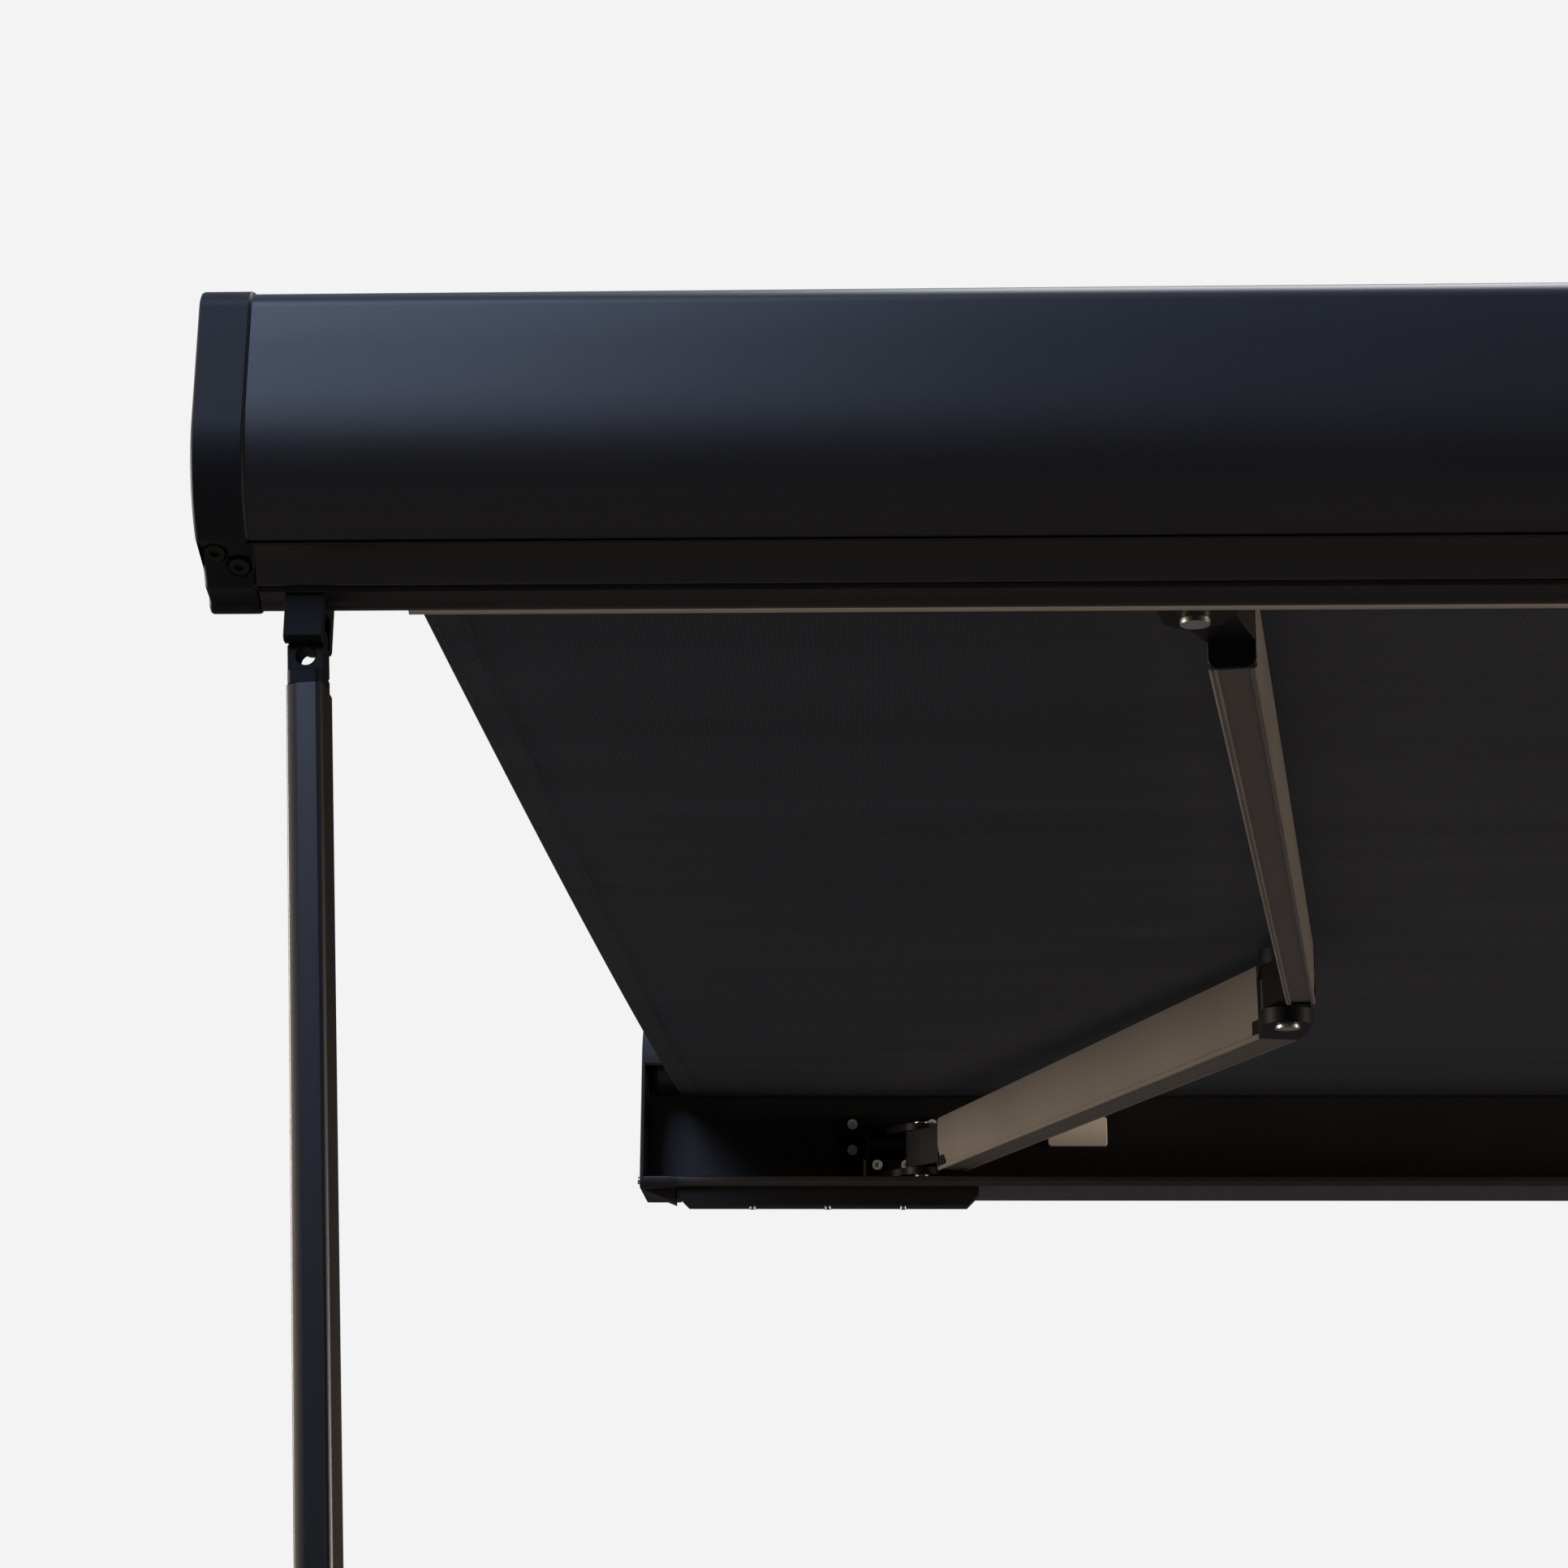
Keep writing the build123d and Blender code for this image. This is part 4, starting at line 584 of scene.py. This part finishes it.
# One half of the section has a groove beside the front face, as the picture shows. The right leg's is
# mirrored.
leg_outline = [(-leg_half, 12.0), (-leg_half, -9.6), (-8.2, -10.5), (-7.6, -11.1), (-3.6, -12.8),
               (-2.9, -13.0), (5.4, -13.0), (5.7, -12.8), (5.8, -12.1), (6.7, -11.9), (7.0, -12.2),
               (7.8, -11.5), (8.2, -10.9), (leg_half, -10.0), (leg_half, 12.0), (7.5, leg_deep),
               (-7.5, leg_deep)]
for side, mirror in (("left", 1.0), ("right", -1.0)):
    corners = [vertex.co for vertex in nodes["leg_outer_" + side].data.vertices]
    low = min(corners, key=lambda at: at.z).z
    high = max(corners, key=lambda at: at.z).z
    foot = [at for at in corners if at.z < low + end_slice]
    head = [at for at in corners if at.z > high - end_slice]
    foot_at, head_at = (sum(group, Vector()) / len(group) for group in (foot, head))
    leg_along = (head_at - foot_at).normalized()
    leg_across = Vector((0.0, 1.0, 0.0)).cross(leg_along).normalized()
    tilt = Matrix((leg_across, Vector((0.0, 1.0, 0.0)), leg_along)).transposed().to_4x4()
    leg_section = [(mirror * a / 1000, b / 1000) for a, b in leg_outline]
    leg_inside = [(max(-leg_bore[0], min(leg_bore[0], a)), max(-leg_bore[1], min(leg_bore[1], b)))
                  for a, b in leg_section]
    swept("leg_profile_" + side, leg_section, Matrix.Translation(foot_at) @ tilt,
          (head_at - foot_at).length, powder_coat, "leg_outer_" + side, leg_inside)
for node in ("leg_inner_left", "leg_inner_right"):
    refined(node, powder_coat)
for node in ("leg_hanger_left", "leg_hanger_right", "leg_knee_left", "leg_knee_right"):
    refined(node, cast_coat, edge_mm=0.5)
for side in ("left", "right"):
    for part in ("leg_clamp_", "clamp_lever_", "leg_foot_"):
        refined(part + side, moulded_black)
refined("hanger_pins", zinc_plate)


# Canopy: one sheet of woven polyester, coated and sewn with a hem down each side, that runs from the
# roller to the rail's channel and is stretched by the arms' springs. It hangs in a shallow curve, and
# the hems draw small ripples into it.

# The coat is matt and a cool dark grey from below, with faint streaks beside the roller, about 0.5 m
# long and 70 mm apart. The weave only breaks up the light; its threads are drawn 1.6 mm apart, coarser
# than real ones, so that it shows.
streak_scale, streak_stretch = 1.6, (1.2, 9.0, 9.0)
weave_pitch, weave_lift, weave_strength = 1.6, 0.00015, 0.6


def weave_scale(millimetres):
    """Wave scale for a thread, up or down, at each pitch: at 1 the node turns 20 radians a metre."""
    return grain_scale(millimetres) / 20 * math.pi


canopy_black, tree, shader = surface("coated_polyester_canopy", "#383c43", roughness=0.82, gleam=0.2)
place = add(tree, "ShaderNodeTexCoord")
stretched = add(tree, "ShaderNodeMapping", None,
                {"Vector": place.outputs["Object"], "Scale": streak_stretch})
streaks = add(tree, "ShaderNodeTexNoise", None,
              {"Vector": stretched.outputs[0], "Scale": streak_scale, "Detail": 5.0})
tone = add(tree, "ShaderNodeMix", {"data_type": "RGBA"},
           {"Factor": streaks.outputs["Fac"], 6: linear("#2f333a"), 7: linear("#41454d")})
tree.links.new(tone.outputs[2], shader.inputs["Base Color"])
weft = add(tree, "ShaderNodeTexWave", {"bands_direction": "X"},
           {"Vector": place.outputs["Object"], "Scale": weave_scale(weave_pitch)})
warp = add(tree, "ShaderNodeTexWave", {"bands_direction": "Y"},
           {"Vector": place.outputs["Object"], "Scale": weave_scale(weave_pitch)})
weave = add(tree, "ShaderNodeMath", {"operation": "MAXIMUM"},
            {0: weft.outputs["Fac"], 1: warp.outputs["Fac"]})
bump = add(tree, "ShaderNodeBump", None,
           {"Height": weave.outputs[0], "Distance": weave_lift, "Strength": weave_strength})
tree.links.new(bump.outputs[0], shader.inputs["Normal"])

canopy_width, canopy_thick, canopy_sag = 3.372, 0.0012, 0.010
roller_y, roller_z, tube_radius, roll_thick, roll_play = -0.062, 0.060, 0.0315, 0.0025, 0.0003
rolled_at = Vector((0.0, roller_y, roller_z - tube_radius - roll_thick - roll_play))
sheet_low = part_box("fabric_sheet")[0]
held_at = Vector((0.0, sheet_low.y, sheet_low.z + canopy_thick))


def hanging(t):
    """The Y and Z of the canopy's curve at a share t of its length from the roller."""
    middle = rolled_at.lerp(held_at, t)
    return middle.y, middle.z - canopy_sag * 4 * t * (1 - t)


columns, rows = 168, 90
ripple_high, ripple_turns, ripple_start, ripple_fade, ripple_ends = 0.0004, 41.0, 1.3, 18, 8
sheet_points = []
for row in range(rows + 1):
    t = row / rows
    y, z = hanging(t)
    for column in range(columns + 1):
        s = column / columns * 2 - 1
        ripple = (ripple_high * math.sin(t * ripple_turns + ripple_start)
                  * math.exp(-(1 - abs(s)) * ripple_fade)
                  * min(1.0, ripple_ends * t, ripple_ends * (1 - t)))
        sheet_points.append((s * canopy_width / 2, y, z - canopy_thick / 2 + ripple))
stride = columns + 1
sheet_faces = [(r * stride + c, r * stride + c + 1, (r + 1) * stride + c + 1, (r + 1) * stride + c)
               for r in range(rows) for c in range(columns)]
canopy_mesh = bpy.data.meshes.new("canopy")
canopy_mesh.from_pydata(sheet_points, [], sheet_faces)
canopy = bpy.data.objects.new("canopy", canopy_mesh)
bpy.context.scene.collection.objects.link(canopy)
canopy_mesh.materials.append(canopy_black)
canopy_mesh.shade_smooth()
thickness = canopy.modifiers.new("thickness", "SOLIDIFY")
thickness.thickness = canopy_thick
thickness.offset = 0.0
settled(canopy)
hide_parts("fabric_sheet")
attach(canopy, "cassette")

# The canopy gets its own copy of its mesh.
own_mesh(canopy)

# Its side hems are the sheet's own edges, turned under by 22 mm and sewn down. They lie below it and
# have a tapered inner edge.
hem_width, hem_thick, hem_lip, hem_into = 0.022, 0.0006, 0.0005, 0.0001
hem_from, hem_over = 0.012, 0.976


def below(t, gap):
    """The Y and Z of a point that far below the canopy's underside at a share t of its length."""
    y, z = hanging(t)
    return y, z - canopy_thick - gap


hem_mesh = bpy.data.meshes.new("canopy_hems")
hem_points, hem_faces = [], []
for side in (-1, 1):
    edge, inner = side * canopy_width / 2, side * (canopy_width / 2 - hem_width)
    first = len(hem_points)
    for row in range(rows + 1):
        t = hem_from + hem_over * row / rows
        for x, gap in ((edge, -hem_into), (edge, hem_thick), (inner, hem_thick),
                       (inner - side * hem_lip, -hem_into)):
            y, z = below(t, gap)
            hem_points.append((x, y, z))
    for row in range(rows):
        for k in range(4):
            a, b = first + 4 * row + k, first + 4 * row + (k + 1) % 4
            hem_faces.append((a, b, b + 4, a + 4))
    hem_faces += [tuple(first + k for k in range(4)), tuple(first + 4 * rows + k for k in range(4))]
hem_mesh.from_pydata(hem_points, [], hem_faces)
shape = bmesh.new()
shape.from_mesh(hem_mesh)
bmesh.ops.recalc_face_normals(shape, faces=shape.faces)
shape.to_mesh(hem_mesh)
shape.free()
hems = placed("canopy_hems", hem_mesh, canopy_black, "cassette")

# Two rows of lockstitch hold each hem, with one bead for each stitch on the cloth's underside. The
# polyester thread has about the cloth's tone, less blue and a little glossier, so a row shows only
# as a fine dotted line.
thread = patterned("bonded_polyester_thread", light="#3f4043", dark="#33343a",
                   roughness=0.7, spread=0.05, blotch_mm=8.0, grain_mm=0.6, bump_mm=0.01, gleam=0.3)
stitch_pitch, stitch_long, stitch_radius, seed = 0.0036, 0.0024, 0.0003, 11
stitch_least, stitch_most = 0.92, 1.08
stitch_tree = bpy.data.node_groups.new("lockstitch_row", "GeometryNodeTree")
for label, kind in (("Seam Lines", "NodeSocketGeometry"), ("Stitch Pitch", "NodeSocketFloat"),
                    ("Stitch Length", "NodeSocketFloat"), ("Thread Radius", "NodeSocketFloat"),
                    ("Seed", "NodeSocketInt"), ("Thread", "NodeSocketMaterial")):
    stitch_tree.interface.new_socket(label, in_out="INPUT", socket_type=kind)
stitch_tree.interface.new_socket("Stitches", in_out="OUTPUT", socket_type="NodeSocketGeometry")
given = add(stitch_tree, "NodeGroupInput")
seam = add(stitch_tree, "GeometryNodeMeshToCurve", None, {"Mesh": given.outputs["Seam Lines"]})
spots = add(stitch_tree, "GeometryNodeCurveToPoints", {"mode": "LENGTH"},
            {"Curve": seam.outputs[0], "Length": given.outputs["Stitch Pitch"]})
bead = add(stitch_tree, "GeometryNodeMeshUVSphere", None, {"Segments": 5, "Rings": 4, "Radius": 1.0})
half_long = add(stitch_tree, "ShaderNodeMath", {"operation": "MULTIPLY"},
                {0: given.outputs["Stitch Length"], 1: 0.5})
size = add(stitch_tree, "ShaderNodeCombineXYZ", None,
           {"X": given.outputs["Thread Radius"], "Y": given.outputs["Thread Radius"],
            "Z": half_long.outputs[0]})
uneven = add(stitch_tree, "FunctionNodeRandomValue", {"data_type": "FLOAT"},
             {2: stitch_least, 3: stitch_most, "Seed": given.outputs["Seed"]})
varied = add(stitch_tree, "ShaderNodeVectorMath", {"operation": "SCALE"},
             {0: size.outputs[0], "Scale": uneven.outputs[1]})
laid = add(stitch_tree, "GeometryNodeInstanceOnPoints", None,
           {"Points": spots.outputs["Points"], "Instance": bead.outputs["Mesh"],
            "Rotation": spots.outputs["Rotation"], "Scale": varied.outputs[0]})
stitch_solid = add(stitch_tree, "GeometryNodeRealizeInstances", None, {"Geometry": laid.outputs[0]})
sewn = add(stitch_tree, "GeometryNodeSetMaterial", None,
           {"Geometry": stitch_solid.outputs[0], "Material": given.outputs["Thread"]})
add(stitch_tree, "NodeGroupOutput", None, {"Stitches": sewn.outputs[0]})

seam_inset, seam_from, seam_over, seam_gap = 0.004, 0.02, 0.96, 0.0001
seam_points, seam_edges = [], []
for side in (-1, 1):
    for inset in (seam_inset, hem_width - seam_inset):
        for row in range(rows + 1):
            y, z = below(seam_from + seam_over * row / rows, hem_thick + seam_gap)
            if row:
                seam_edges.append((len(seam_points) - 1, len(seam_points)))
            seam_points.append((side * (canopy_width / 2 - inset), y, z))
seam_mesh = bpy.data.meshes.new("canopy_stitching")
seam_mesh.from_pydata(seam_points, seam_edges, [])
stitching = bpy.data.objects.new("canopy_stitching", seam_mesh)
bpy.context.scene.collection.objects.link(stitching)
grown(stitching, stitch_tree, {"Stitch Pitch": stitch_pitch, "Stitch Length": stitch_long,
                               "Thread Radius": stitch_radius, "Seed": seed, "Thread": thread})
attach(stitching, "cassette")
for sewn_on in (hems, stitching):
    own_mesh(sewn_on)


# Fabric roll: the last three turns of the same cloth, which stay on the roller when the canopy is
# out. They are one strip in a spiral, each turn a little inside the one before.
roll_low, roll_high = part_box("fabric_roll")
roll_centre = (roll_low + roll_high) / 2
roll_outer = (roll_high.z - roll_low.z) / 2
turns, turn_steps, strip_thick, turn_pitch, box_play = 3, 72, 0.0006, 0.00078, 0.00005


def turn_line(inward):
    """One face of the strip, from the outside in."""
    line = []
    for i in range(turns * turn_steps + 1):
        angle = 2 * math.pi * i / turn_steps
        radius = roll_outer - box_play - turn_pitch * i / turn_steps - inward
        line.append((radius * math.cos(angle), radius * math.sin(angle)))
    return line


roll_place = Matrix.Translation((roll_low.x, roll_centre.y, roll_centre.z)) @ lay_along_x
swept("fabric_roll_turns", turn_line(0.0) + turn_line(strip_thick)[::-1], roll_place,
      roll_high.x - roll_low.x, canopy_black, "fabric_roll")
